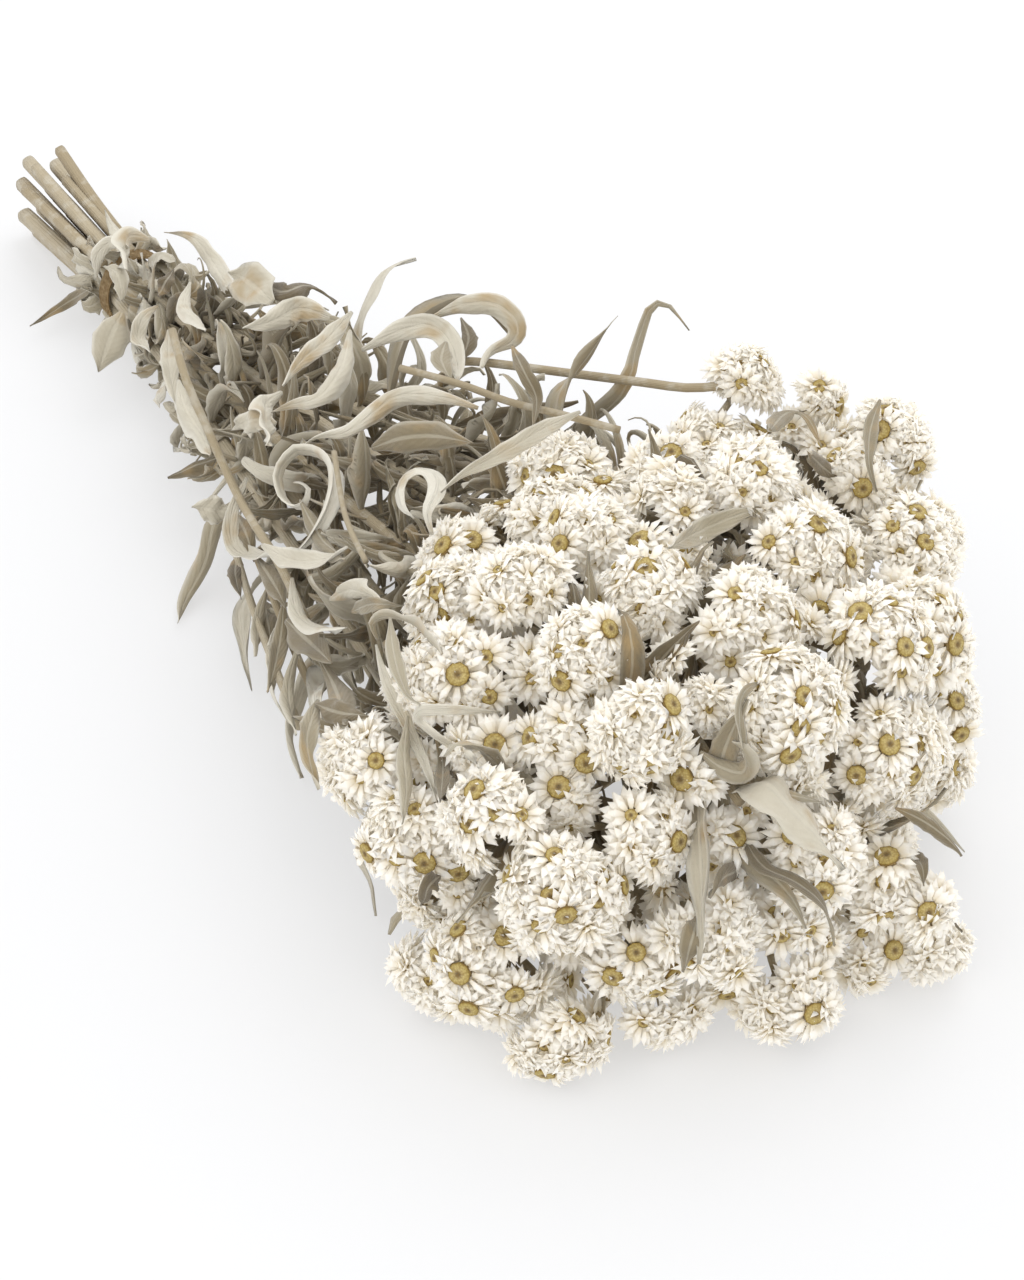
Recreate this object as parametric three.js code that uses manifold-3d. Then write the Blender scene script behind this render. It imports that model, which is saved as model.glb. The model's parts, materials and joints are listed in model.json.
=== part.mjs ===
// Dried pearl everlasting: a tied bunch of woolly, leafy stems that lies on its side.
// Every stem ends in a corymb, a branched top that carries rounded clusters of papery
// flower heads. Millimetres, +Z up, floor at z = 0, flowers towards -Y, cut ends towards +Y.

import * as THREE from 'three';
import { mergeVertices } from 'three/addons/utils/BufferGeometryUtils.js';
import Module from 'manifold-3d';

const wasm = await Module();
wasm.setup();

// The bundle: where it is tied, how far the bare stalks reach and how they splay
const TIE = { x: 2, y: 216, z: 17.4 };
const STALK_LENGTH = 78;
const CUT_SPREAD = 14;
const STALK_SPLAY = 0.5;
const STALK_DRIFT = { x: 4, z: -4.4 };
const SLOT_PITCH = 4.7;
const SLOT_ROW = SLOT_PITCH * Math.sqrt(3) / 2;
const OPENING = { x: 1.3, z: 1.8 };
const HUB = { x: 3, y: 24, z: 32 };
const FORK_REACH = 28;
const HEART = { x: 4, y: -42, z: 38 };
const FORK_PULL = 1.6;

// Stems, branchlets and the tie
const STEM_RADIUS = 2.1;
const STEM_TIP_RADIUS = 1.45;
const STEM_SIDES = 6;
const STEM_STEP = 42;
const STALK_RADIUS = 1.35;
const BRANCHLET_RADIUS = 1.1;
const LONG_BRANCHLET = 17;
const FIRST_BRANCH = 3.2;
const BRANCH_PITCH = 4.2;
const BRANCHLET_SIDES = 5;
const JOINT_GAP = 0.35;
const TIE_INNER = { x: 10.1, z: 11.5 };
const TIE_WALL = 1.1;
const TIE_WIDTH = 5;
const TIE_SIDES = 18;

// Clusters: rounded caps packed with star-shaped heads, drawn larger than life
const FULLNESS = 1.28;
const DRAWN_IN = 0.96;
const CAP_FLATNESS = 0.8;
const CAP_RIM = -0.22;
const CORE_DEPTH = 0.6;
const STAR_TIPS = 6;
const TIP = { share: 0.94, most: 0.36, height: 1 };
const NOTCH = { share: 0.64, most: 0.22, height: 0.88 };
const HEAD_AREA = 42;
const SETTLE_ROUNDS = 60;
const CLUSTER_GAP = 0.5;
const KIN_SPACING = 0.78;
const FLOOR_SINK = 0.6;

// Leaves: long blades with a thick midrib, folded along it, and curled as they dried
const LEAF_STEPS = 20;
const LEAF_THICKNESS = 1.0;
const LEAF_FOLD = 0.22;
const LOWEST_LEAN = 2;
const LEAF_BASE = 1.3;
const LEAVES_PER_STEM = 8;
const LEAF_TRIES = 200;
const LEAF_SPACING = 3.4;
const SPAN_STEPS = 8;
const BODY_LEAF = {
  roll: 1.1, tilt: [0.5, 1.1], length: [25, 43], width: [4.8, 7.4], bend: [-0.8, 1.8], curl: [-6, 11],
};
const COLLAR_LEAF = {
  roll: 0.9, tilt: [1.0, 2.0], length: [18, 28], width: [6, 8.5], bend: [0.4, 2.2], curl: [-2, 5],
};
const COLLAR_REACH = [6, 14];
const STRONG_CURL = 3.2;

// How far the mass of leaves reaches to either side of the tie's middle and up from the floor:
// at the tie, how much more above the heart of the flowers, and the power that it opens with
const MASS_HALF = { tied: 15, more: 52, power: 1.1 };
const MASS_TOP = { tied: 36, more: 64, power: 0.95 };
const MASS_SLACK = 1.15;

// What a leaf drawn by rule keeps clear of, and the grid of cells that finds it
const STEM_CLEARANCE = 1.7;
const BRANCHLET_CLEARANCE = 1.9;
const TIE_CLEARANCE = 2.7;
const CLUSTER_CLEARANCE = 1.2;
const LEAF_CLEARANCE = 2.9;
const FLOOR_CLEARANCE = 0.6;
const FREE_SHARE = 0.16;
const SAMPLES_ACROSS = 5;
const SAMPLE_STEP = 2;
const GRID_CELL = 5;

// The stems, each with its place in the tied bundle (column, row) and the clusters that it
// carries: x, y and z of the middle, and the radius
const STEMS = [
  { slot: [-0.5, 2], clusters: [[16, -10, 80, 11], [-8, -31, 83, 10.5], [-6, -51, 88, 9.5]] },
  { slot: [-1, 1], clusters: [[-33, -38, 77, 12], [-22, -49, 86, 10], [-46, -70, 73, 12.5], [-25, -16, 76, 8.5]] },
  { slot: [1, 1], clusters: [[64, -7, 90, 8.5], [45, -18, 77, 12], [79, -20, 86, 6.5], [28, -27, 83, 9]] },
  {
    slot: [1.5, 0],
    clusters: [[88, -36, 80, 9.5], [71, -44, 79, 8.5], [67, -68, 72, 11.5], [86, -56, 55, 11]],
  },
  { slot: [0.5, 2], clusters: [[31, -49, 86, 10.5], [14, -45, 88, 9], [33, -74, 81, 13], [51, -52, 79, 9]] },
  { slot: [0, 1], clusters: [[-7, -71, 88, 9.5], [10, -83, 84, 12.5], [10, -107, 77, 12]] },
  { slot: [-0.5, 0], clusters: [[-36, -80, 80, 9.5], [-35, -88, 80, 9.5], [-45, -93, 66, 10.5]] },
  { slot: [-1.5, 0], clusters: [[-62, -82, 48, 11.5], [-64, -57, 58, 10.5], [-62, -59, 35, 10.5]] },
  { slot: [0, -1], clusters: [[-49, -102, 45, 12], [-43, -105, 58, 9.5], [-54, -86, 66, 9.5]] },
  {
    slot: [-1, -1],
    clusters: [[-66, -88, 12, 9.5], [-62, -90, 25, 12.5], [-48, -98, 20, 9], [-58, -110, 9, 9.5]],
  },
  {
    slot: [-0.5, -2],
    clusters: [[-39, -112, 33, 10], [-35, -110, 13, 9.5], [-20, -112, 23, 9.5], [-26, -122, 42, 10]],
  },
  {
    slot: [0.5, -2],
    clusters: [[2, -122.5, 49, 10.5], [-3, -117, 27, 13], [-6, -129, 14, 10.5], [15, -123, 34, 9]],
  },
  {
    slot: [0.5, 0],
    clusters: [[50, -88, 69, 11.5], [30, -100, 74, 11.5], [20, -113, 60, 13], [39, -107, 46, 10]],
  },
  {
    slot: [1, -1],
    clusters: [
      [77, -69, 38, 11.5], [70, -84, 20, 11.5], [59, -94, 50, 9.5], [30, -110, 28, 10.5],
      [34, -133, 8, 7.5], [20, -127, 8, 8],
    ],
  },
];

// A leafy shoot among the flowers: the stem it leaves, where, and the place of its tip
const SHOOT = { parent: 5, y: -46, start: [-3.3, 0, -0.9], tip: [-14, -115, 66] };
const SHOOT_RADIUS = 1.35;

// Leaves that stand out in the photo: the stem, the place of the root along it, and the line
// that the blade follows from there. The last five sit on the shoot
const PLACED_LEAVES = [
  {
    stem: 4, y: 109, width: 5.5, twist: 0.8,
    line: [[22, 114, 53], [26, 116, 58], [32, 118, 64], [41, 115, 67]],
  },
  {
    stem: 4, y: 85, width: 8, twist: 0.5,
    line: [[22, 88, 63], [32, 87, 69], [41, 82, 69], [46, 72, 62]],
  },
  {
    stem: 4, y: 13, width: 6.5, twist: 2.2,
    line: [[25, 20, 77], [32, 22, 84], [41, 24, 91], [46, 24, 95]],
  },
  {
    stem: 3, y: 49, width: 6, twist: 1.3,
    line: [[41, 16, 77], [49, 20, 88], [57, 23, 97], [60, 13, 92]],
  },
  {
    stem: 1, y: 88, width: 6, twist: 0.5,
    line: [[-23, 76, 45], [-21, 73, 53], [-15, 68, 55], [-14, 62, 49]],
  },
  {
    stem: 11, y: 49, width: 6, twist: 0.8,
    line: [[-9, 38, 51], [-6, 41, 57], [0, 40, 60]],
  },
  {
    stem: 7, y: 97, width: 7.5, twist: 0.6,
    line: [[-34, 95, 20], [-40, 91, 11], [-48, 88, 3.5], [-54, 81, 2.5]],
  },
  {
    stem: 7, y: 118, width: 6, twist: 0.4,
    line: [[-25, 119, 21], [-29, 120, 20], [-35, 122, 18]],
  },
  {
    stem: 7, y: -26, width: 6.5, twist: 0.5,
    line: [[-64, -33, 15], [-64, -40, 8], [-66, -45, 2.5]],
  },
  {
    stem: 9, y: 78, width: 6, twist: 0.8,
    line: [[-33, 72, 15], [-42, 65, 13], [-48, 54, 9], [-52, 43, 4.5]],
  },
  {
    stem: 9, y: 40, width: 6.5, twist: 0.6,
    line: [[-36, 33, 15], [-46, 27, 13], [-54, 18, 9], [-58, 6, 4.5]],
  },
  {
    stem: 7, y: 36, width: 6, twist: 1,
    line: [[-42, 33, 30], [-51, 28, 31], [-60, 16, 28], [-60, 6, 23]],
  },
  {
    stem: 7, y: 4, width: 6.5, twist: 0.8,
    line: [[-46, 2, 36], [-55, -3, 40], [-62, -12, 43], [-66, -22, 40]],
  },
  {
    stem: 13, y: -65, width: 6, twist: 0.4,
    line: [[56, -90, 14], [61, -97, 10], [64, -103, 5]],
  },
  {
    stem: 14, y: -97.5, width: 7, twist: 0.5,
    line: [[-20, -108, 66], [-27, -119, 62], [-34, -130, 52], [-37, -134, 45]],
  },
  {
    stem: 14, y: -101, width: 7, twist: 0.4,
    line: [[-6, -112, 62], [2, -120, 65]],
  },
  {
    stem: 14, y: -104.5, width: 7, twist: 1.2,
    line: [[-16, -110, 75], [-15, -112, 84], [-12, -113, 92]],
  },
  {
    stem: 14, y: -108, width: 8, twist: 0.5,
    line: [[-17, -113, 57], [-15, -124, 55], [-13, -133, 52], [-12, -138, 46]],
  },
  {
    stem: 14, y: -111.5, width: 12, twist: 0.3,
    line: [[-12, -121, 74], [-9, -131, 70], [-5, -140, 61]],
  },
];

let seed = 1;

function reseed(number) {
  seed = (number * 7919 + 104729) % 2147483647;
  draw();
  draw();
}

function draw() {
  seed = (seed * 48271) % 2147483647;
  return seed / 2147483647;
}

function between(low, high) {
  return low + (high - low) * draw();
}

function vector(place) {
  return new THREE.Vector3(place.x, place.y, place.z);
}

function mix(a, b, share) {
  return a.clone().lerp(b, share);
}

// A unit vector across the given one
function acrossOf(direction) {
  const helper = Math.abs(direction.z) < 0.8 ? new THREE.Vector3(0, 0, 1) : new THREE.Vector3(1, 0, 0);
  return helper.cross(direction).normalize();
}

// A closed skin of triangles, grown ring by ring. A ring runs anticlockwise as seen from the tip
class Skin {
  corners = [];
  triangles = [];

  add(points) {
    const first = this.corners.length;
    this.corners.push(...points);
    return points.map((_, i) => first + i);
  }

  band(ring, next) {
    ring.forEach((a, i) => {
      const j = (i + 1) % ring.length;
      this.triangles.push([a, ring[j], next[j]], [a, next[j], next[i]]);
    });
  }

  // A band of a blade, whose two faces bend along the same lines from the midrib to the edges
  bladeBand(ring, next) {
    ring.forEach((a, i) => {
      const j = (i + 1) % ring.length;
      if (i % 2 === 0) {
        this.triangles.push([a, ring[j], next[j]], [a, next[j], next[i]]);
      } else {
        this.triangles.push([a, ring[j], next[i]], [ring[j], next[j], next[i]]);
      }
    });
  }

  point(ring, tip) {
    const [top] = this.add([tip]);
    ring.forEach((a, i) => this.triangles.push([a, ring[(i + 1) % ring.length], top]));
  }

  closeTip(ring) {
    for (let i = 1; i + 1 < ring.length; i += 1) {
      this.triangles.push([ring[0], ring[i], ring[i + 1]]);
    }
  }

  closeFoot(ring) {
    this.closeTip(ring.slice().reverse());
  }

  centre(indices) {
    const centre = new THREE.Vector3();
    indices.forEach((corner) => centre.addScaledVector(this.corners[corner], 1 / indices.length));
    return centre;
  }

  // The strip between an outline and the rim that rises from it, each taken by angle round its middle
  skirt(rim, outline, rimMiddle = this.centre(rim)) {
    const along = this.centre(rim).sub(this.centre(outline)).normalize();
    const across = acrossOf(along);
    const up = along.clone().cross(across);
    const turned = (indices, middle) => {
      return indices
        .map((corner) => {
          const offset = this.corners[corner].clone().sub(middle);
          return { corner, angle: Math.atan2(offset.dot(up), offset.dot(across)) };
        })
        .sort((p, q) => p.angle - q.angle);
    };
    const inner = turned(rim, rimMiddle);
    const outer = turned(outline, this.centre(outline));
    const angleOf = (list, i) => {
      if (i > list.length) {
        return Infinity;
      }
      return i < list.length ? list[i].angle : list[0].angle + 2 * Math.PI;
    };
    let i = 0;
    let j = 0;
    while (i < inner.length || j < outer.length) {
      const a = inner[i % inner.length].corner;
      const b = outer[j % outer.length].corner;
      if (angleOf(inner, i + 1) <= angleOf(outer, j + 1)) {
        i += 1;
        this.triangles.push([a, b, inner[i % inner.length].corner]);
      } else {
        j += 1;
        this.triangles.push([a, b, outer[j % outer.length].corner]);
      }
    }
  }

  geometry() {
    const geometry = new THREE.BufferGeometry();
    const places = this.corners.flatMap((corner) => corner.toArray());
    geometry.setAttribute('position', new THREE.Float32BufferAttribute(places, 3));
    geometry.setIndex(this.triangles.flat());
    return geometry;
  }
}

// The points of a round ring, and the two directions that it was turned from
function ringAt(point, along, radius, sides, near = acrossOf(along)) {
  const across = near.clone().addScaledVector(along, -near.dot(along)).normalize();
  const up = along.clone().cross(across);
  const points = Array.from({ length: sides }, (_, j) => {
    const angle = 2 * Math.PI * j / sides;
    return point.clone()
      .addScaledVector(across, radius * Math.cos(angle))
      .addScaledVector(up, radius * Math.sin(angle));
  });
  return { points, across, up };
}

// The facet of a ring that faces nearest to the given direction
function facetTowards(ring, sides, away) {
  const turn = Math.atan2(away.dot(ring.up), away.dot(ring.across));
  return (Math.floor(turn * sides / (2 * Math.PI)) + sides) % sides;
}

// The direction that the middle of that facet faces
function facetMiddle(point, along, away) {
  const ring = ringAt(point, along, 1, STEM_SIDES);
  const turn = 2 * Math.PI * (facetTowards(ring, STEM_SIDES, away) + 0.5) / STEM_SIDES;
  return ring.across.clone().multiplyScalar(Math.cos(turn)).addScaledVector(ring.up, Math.sin(turn));
}

// A rod through rows of { point, along, radius }, with sprouts that each take one facet of it.
// A sprout has the row it starts after, the direction it leaves in and a grow function
function sproutingRod(skin, rows, sides, sprouts) {
  const rings = rows.map((row) => {
    const ring = ringAt(row.point, row.along, row.radius, sides);
    return { ...ring, indices: skin.add(ring.points) };
  });
  for (let r = 0; r + 1 < rings.length; r += 1) {
    const here = rings[r];
    const next = rings[r + 1];
    const sprout = sprouts.find((one) => one.row === r);
    const facet = sprout && facetTowards(here, sides, sprout.away);
    for (let i = 0; i < sides; i += 1) {
      const j = (i + 1) % sides;
      const outline = [here.indices[i], here.indices[j], next.indices[j], next.indices[i]];
      if (sprout && i === facet) {
        sprout.grow(outline);
      } else {
        skin.triangles.push([outline[0], outline[1], outline[2]], [outline[0], outline[2], outline[3]]);
      }
    }
  }
  return { foot: rings[0].indices, tip: rings[rings.length - 1].indices };
}

function solidOf(geometry) {
  const plain = geometry.clone();
  plain.deleteAttribute('normal');
  plain.deleteAttribute('uv');
  const welded = mergeVertices(plain, 1e-5);
  return new wasm.Manifold(new wasm.Mesh({
    numProp: 3,
    vertProperties: new Float32Array(welded.attributes.position.array),
    triVerts: new Uint32Array(welded.index.array),
  }));
}

function geometryOfSolid(solid) {
  const mesh = solid.getMesh();
  const geometry = new THREE.BufferGeometry();
  geometry.setAttribute('position', new THREE.Float32BufferAttribute(Array.from(mesh.vertProperties), 3));
  geometry.setIndex(Array.from(mesh.triVerts));
  return geometry;
}

// Clusters press one another aside until none overlap, and rest on the floor
function settle(clusters) {
  for (let round = 0; round < SETTLE_ROUNDS; round += 1) {
    for (let i = 0; i < clusters.length; i += 1) {
      for (let j = i + 1; j < clusters.length; j += 1) {
        const a = clusters[i];
        const b = clusters[j];
        const apart = b.middle.clone().sub(a.middle);
        const need = a.stem === b.stem
          ? KIN_SPACING * (a.radius + b.radius)
          : a.radius + b.radius + CLUSTER_GAP;
        const distance = apart.length();
        if (distance < need) {
          apart.multiplyScalar((need - distance) / distance / 2);
          a.middle.sub(apart);
          b.middle.add(apart);
        }
      }
    }
    for (const cluster of clusters) {
      cluster.middle.z = Math.max(cluster.middle.z, cluster.radius - FLOOR_SINK);
    }
  }
}

// Stems as tied: where each one forks, and the line that it follows
function planStem(entry, index) {
  const clusters = entry.clusters.map(([x, y, z, radius]) => ({
    middle: mix(vector(HEART), new THREE.Vector3(x, y, z), DRAWN_IN), radius: radius * FULLNESS, stem: index,
  }));
  const slot = { x: entry.slot[0] * SLOT_PITCH, z: entry.slot[1] * SLOT_ROW };
  return { index, slot, clusters, leaves: [] };
}

function placeFork(stem) {
  const centre = new THREE.Vector3();
  for (const cluster of stem.clusters) {
    centre.addScaledVector(cluster.middle, 1 / stem.clusters.length);
  }
  const back = vector(HUB).sub(centre).normalize();
  stem.fork = centre.addScaledVector(back, FORK_REACH);
  reseed(stem.index + 900);
  stem.endY = TIE.y + STALK_LENGTH - between(0, CUT_SPREAD);
}

function stemPoint(stem, y) {
  if (stem.from) {
    return mix(stem.from, stem.fork, (stem.from.y - y) / (stem.from.y - stem.fork.y));
  }
  if (y > TIE.y) {
    const back = (y - TIE.y) / STALK_LENGTH;
    return new THREE.Vector3(
      TIE.x + stem.slot.x * (1 + STALK_SPLAY * back) + STALK_DRIFT.x * back,
      y,
      TIE.z + stem.slot.z * (1 + STALK_SPLAY * back) + STALK_DRIFT.z * back,
    );
  }
  const share = (TIE.y - y) / (TIE.y - stem.fork.y);
  return new THREE.Vector3(
    TIE.x + stem.slot.x + (stem.fork.x - TIE.x - stem.slot.x) * share ** OPENING.x,
    y,
    TIE.z + stem.slot.z + (stem.fork.z - TIE.z - stem.slot.z) * share ** OPENING.z,
  );
}

function planShoot(stems) {
  const from = stemPoint(stems[SHOOT.parent], SHOOT.y).add(new THREE.Vector3(...SHOOT.start));
  const fork = new THREE.Vector3(...SHOOT.tip);
  return { index: stems.length, from, fork, endY: from.y, clusters: [], leaves: [] };
}

function stemRadius(stem, y) {
  if (stem.from) {
    return SHOOT_RADIUS;
  }
  const share = (stem.endY - y) / (stem.endY - stem.fork.y);
  return STEM_RADIUS + (STEM_TIP_RADIUS - STEM_RADIUS) * share;
}

function stemDirection(stem, y) {
  return stemPoint(stem, y - 1).sub(stemPoint(stem, y)).normalize();
}

// A cluster of heads is a low core whose surface is shared out among the heads, each of which
// rises from its own share as a star. These are the directions of the heads and of the underside
function headDirections(count) {
  const turn = Math.PI * (3 - Math.sqrt(5));
  const start = between(0, 2 * Math.PI);
  const directions = Array.from({ length: count }, (_, i) => {
    const height = 1 + (CAP_RIM - 1) * (i + 0.35) / (count - 0.3);
    const ring = Math.sqrt(1 - height * height);
    const angle = start + i * turn;
    return new THREE.Vector3(ring * Math.cos(angle), ring * Math.sin(angle), height);
  });
  directions.push(new THREE.Vector3(0.02, 0.01, -1).normalize());
  return directions;
}

// Faces of the hull round the directions, each seen from outside
function hullFaces(directions) {
  const faces = [];
  for (let a = 0; a < directions.length; a += 1) {
    for (let b = a + 1; b < directions.length; b += 1) {
      for (let c = b + 1; c < directions.length; c += 1) {
        const edge = directions[b].clone().sub(directions[a]);
        const normal = edge.cross(directions[c].clone().sub(directions[a])).normalize();
        const level = normal.dot(directions[a]);
        const outward = level < 0 ? -1 : 1;
        const others = directions.filter((_, i) => i !== a && i !== b && i !== c);
        if (others.every((other) => outward * (normal.dot(other) - level) < 0)) {
          faces.push({ members: [a, b, c], normal: normal.multiplyScalar(outward) });
        }
      }
    }
  }
  return faces;
}

// How far a cell reaches from its middle at the given angle, as the tangent of half the arc
function reachAt(angle, outline) {
  const x = Math.cos(angle);
  const y = Math.sin(angle);
  let reach = Infinity;
  for (let i = 0; i < outline.length; i += 1) {
    const p = outline[i];
    const q = outline[(i + 1) % outline.length];
    const cross = x * (q.y - p.y) - y * (q.x - p.x);
    const distance = (p.x * (q.y - p.y) - p.y * (q.x - p.x)) / cross;
    if (cross > 1e-9 && distance > 0) {
      reach = Math.min(reach, distance);
    }
  }
  return reach;
}

// The cap of heads at the end of a branchlet, whose last ring joins the bare underside
function growCap(skin, cluster, end) {
  const count = Math.min(Math.max(Math.round(cluster.radius ** 2 / HEAD_AREA), 5), 9);
  const directions = headDirections(count);
  const faces = hullFaces(directions);
  const across = acrossOf(cluster.axis);
  const up = cluster.axis.clone().cross(across);
  const place = (corner) => cluster.middle.clone()
    .addScaledVector(across, corner.x * cluster.radius)
    .addScaledVector(up, corner.y * cluster.radius)
    .addScaledVector(cluster.axis, corner.z * cluster.radius * CAP_FLATNESS);
  const core = skin.add(faces.map((face) => place(face.normal.clone().multiplyScalar(CORE_DEPTH))));
  directions.slice(0, count).forEach((direction, cell) => {
    const side = acrossOf(direction);
    const rise = direction.clone().cross(side);
    const outline = faces
      .map((face, i) => {
        const flat = face.normal.clone().divideScalar(1 + face.normal.dot(direction));
        return { corner: core[i], x: flat.dot(side), y: flat.dot(rise), used: face.members.includes(cell) };
      })
      .filter((spot) => spot.used)
      .sort((p, q) => Math.atan2(p.y, p.x) - Math.atan2(q.y, q.x));
    const star = [];
    for (let j = 0; j < 2 * STAR_TIPS; j += 1) {
      const angle = Math.PI * j / STAR_TIPS;
      const shape = j % 2 === 0 ? TIP : NOTCH;
      const reach = Math.min(reachAt(angle, outline) * shape.share, shape.most);
      const fall = 2 * Math.atan(reach);
      star.push(place(direction.clone().multiplyScalar(Math.cos(fall))
        .addScaledVector(side, Math.sin(fall) * Math.cos(angle))
        .addScaledVector(rise, Math.sin(fall) * Math.sin(angle))
        .multiplyScalar(shape.height)));
    }
    const rim = skin.add(star);
    const notches = rim.filter((_, j) => j % 2 === 1);
    notches.forEach((notch, j) => {
      skin.triangles.push([notch, rim[(2 * j + 2) % rim.length], notches[(j + 1) % notches.length]]);
    });
    skin.closeTip(notches);
    skin.skirt(rim, outline.map((spot) => spot.corner));
  });
  const below = faces.map((face, i) => (face.members.includes(count) ? core[i] : -1)).filter((i) => i >= 0);
  skin.skirt(end, below);
}

// A corymb: a stalk that carries on from the stem to its first cluster, with a branchlet to each other
function capFoot(cluster) {
  return cluster.middle.clone().addScaledVector(cluster.axis, -cluster.radius * CAP_FLATNESS * 0.5 - 1.5);
}

function branchlet(start, direction, cluster) {
  const end = capFoot(cluster);
  const reach = 0.4 * end.distanceTo(start);
  return new THREE.CubicBezierCurve3(
    start,
    start.clone().addScaledVector(direction, reach),
    end.clone().addScaledVector(cluster.axis, -reach),
    end,
  );
}

function corymbStalk(stem) {
  const direction = stemDirection(stem, stem.fork.y);
  return branchlet(stem.fork.clone().addScaledVector(direction, JOINT_GAP), direction, stem.clusters[0]);
}

function sideBranchlet(stem, stalk, i) {
  const cluster = stem.clusters[i];
  const share = (FIRST_BRANCH + BRANCH_PITCH * (i - 1)) / stalk.getLength();
  const start = stalk.getPoint(share);
  const direction = capFoot(cluster).sub(start).normalize();
  return { share, curve: branchlet(start, direction, cluster) };
}

// A rod that carries a cap, as one closed solid
function carriedCap(curve, radii, cluster, number) {
  const skin = new Skin();
  let across = acrossOf(curve.getTangent(0));
  const rings = radii.map((radius, i) => {
    const share = i / (radii.length - 1);
    const ring = ringAt(curve.getPoint(share), curve.getTangent(share), radius, BRANCHLET_SIDES, across);
    across = ring.across;
    return skin.add(ring.points);
  });
  skin.closeFoot(rings[0]);
  for (let i = 0; i + 1 < rings.length; i += 1) {
    skin.band(rings[i], rings[i + 1]);
  }
  reseed(number);
  growCap(skin, cluster, rings[rings.length - 1]);
  return solidOf(skin.geometry());
}

function corymbSolid(stem) {
  const stalk = corymbStalk(stem);
  const pieces = stem.clusters.map((cluster, i) => {
    const number = stem.index * 10 + i;
    if (i === 0) {
      const radii = [STEM_TIP_RADIUS, STALK_RADIUS, BRANCHLET_RADIUS, BRANCHLET_RADIUS];
      return carriedCap(stalk, radii, cluster, number);
    }
    const { curve } = sideBranchlet(stem, stalk, i);
    const rings = curve.getLength() > LONG_BRANCHLET ? 4 : 3;
    return carriedCap(curve, Array(rings).fill(BRANCHLET_RADIUS), cluster, number);
  });
  return filled(pieces.reduce((whole, piece) => whole.add(piece)));
}

// A hollow that the joining sealed is filled, and a loose scrap is dropped
function filled(solid) {
  const shells = solid.decompose();
  return shells.reduce((best, shell) => (shell.volume() > best.volume() ? shell : best));
}

function leafWidth(share) {
  return 0.22 + 0.78 * Math.sin(Math.PI * Math.min(0.1 + 0.9 * share, 1));
}

// How far the edges fold up from the midrib, as a share of the width. The foot of a leaf is flat
function foldAt(share) {
  return LEAF_FOLD * Math.min(2.2 * share, 1);
}

// Side and face directions along a centre line, turned on by a steady twist
function leafFrames(points, facing, twist) {
  let face = facing.clone();
  return points.map((point, i) => {
    const before = points[Math.max(i - 1, 0)];
    const after = points[Math.min(i + 1, points.length - 1)];
    const along = after.clone().sub(before).normalize();
    face = face.clone().addScaledVector(along, -face.dot(along)).normalize();
    const side = along.clone().cross(face);
    const angle = twist * (i / (points.length - 1)) ** 2;
    return {
      point,
      side: side.clone().multiplyScalar(Math.cos(angle)).addScaledVector(face, Math.sin(angle)),
      face: face.clone().multiplyScalar(Math.cos(angle)).addScaledVector(side, -Math.sin(angle)),
    };
  });
}

function leafSections(leaf) {
  return Array.from({ length: leaf.segments + 1 }, (_, i) => {
    const pick = Math.round(LEAF_STEPS * i / leaf.segments);
    const share = pick / LEAF_STEPS;
    return { ...leaf.frames[pick], width: leaf.width * leafWidth(share), share };
  });
}

function growLeaf(skin, leaf, outline) {
  const sections = leafSections(leaf);
  const rings = sections.slice(1, -1).map(({ point, side, face, width, share }) => {
    const edge = point.clone().addScaledVector(face, foldAt(share) * width);
    return skin.add([
      point.clone().addScaledVector(face, LEAF_THICKNESS / 2),
      edge.clone().addScaledVector(side, width / 2),
      point.clone().addScaledVector(face, -LEAF_THICKNESS / 2),
      edge.clone().addScaledVector(side, -width / 2),
    ]);
  });
  skin.skirt(rings[0], outline, sections[1].point);
  for (let i = 0; i + 1 < rings.length; i += 1) {
    skin.bladeBand(rings[i], rings[i + 1]);
  }
  skin.point(rings[rings.length - 1], sections[sections.length - 1].point);
}

// Points spread over a blade, for keeping leaves apart
function leafSamples(leaf) {
  const sections = leafSections(leaf);
  const samples = [];
  for (let i = 0; i + 1 < sections.length; i += 1) {
    const a = sections[i];
    const b = sections[i + 1];
    const length = a.point.distanceTo(b.point);
    const steps = Math.max(Math.round(length / SAMPLE_STEP), 2);
    for (let j = 0; j < steps; j += 1) {
      const share = (j + 1) / steps;
      const middle = mix(a.point, b.point, share);
      const side = mix(a.side, b.side, share);
      const face = mix(a.face, b.face, share);
      const width = a.width + (b.width - a.width) * share;
      const along = a.share + (b.share - a.share) * share;
      for (let k = 0; k <= SAMPLES_ACROSS; k += 1) {
        const across = k / SAMPLES_ACROSS - 0.5;
        samples.push({
          place: middle.clone()
            .addScaledVector(side, across * width)
            .addScaledVector(face, foldAt(along) * width * Math.abs(2 * across)),
          share: along,
        });
      }
    }
  }
  return samples;
}

// What a new leaf keeps clear of: points in a grid of cells, with the distance that each needs
const cells = new Map();

function cellKey(x, y, z) {
  return (x + 200) * 1000000 + (y + 200) * 1000 + z + 200;
}

function addObstacle(place, need, stem) {
  const key = cellKey(
    Math.floor(place.x / GRID_CELL), Math.floor(place.y / GRID_CELL), Math.floor(place.z / GRID_CELL),
  );
  if (!cells.has(key)) {
    cells.set(key, []);
  }
  cells.get(key).push({ place, need, stem });
}

function isClear(sample, stem) {
  const { place, share } = sample;
  const i = Math.floor(place.x / GRID_CELL);
  const j = Math.floor(place.y / GRID_CELL);
  const k = Math.floor(place.z / GRID_CELL);
  for (let x = i - 1; x <= i + 1; x += 1) {
    for (let y = j - 1; y <= j + 1; y += 1) {
      for (let z = k - 1; z <= k + 1; z += 1) {
        for (const other of cells.get(cellKey(x, y, z)) ?? []) {
          const own = other.stem === stem && share < FREE_SHARE;
          if (!own && place.distanceTo(other.place) < other.need) {
            return false;
          }
        }
      }
    }
  }
  return true;
}

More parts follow.
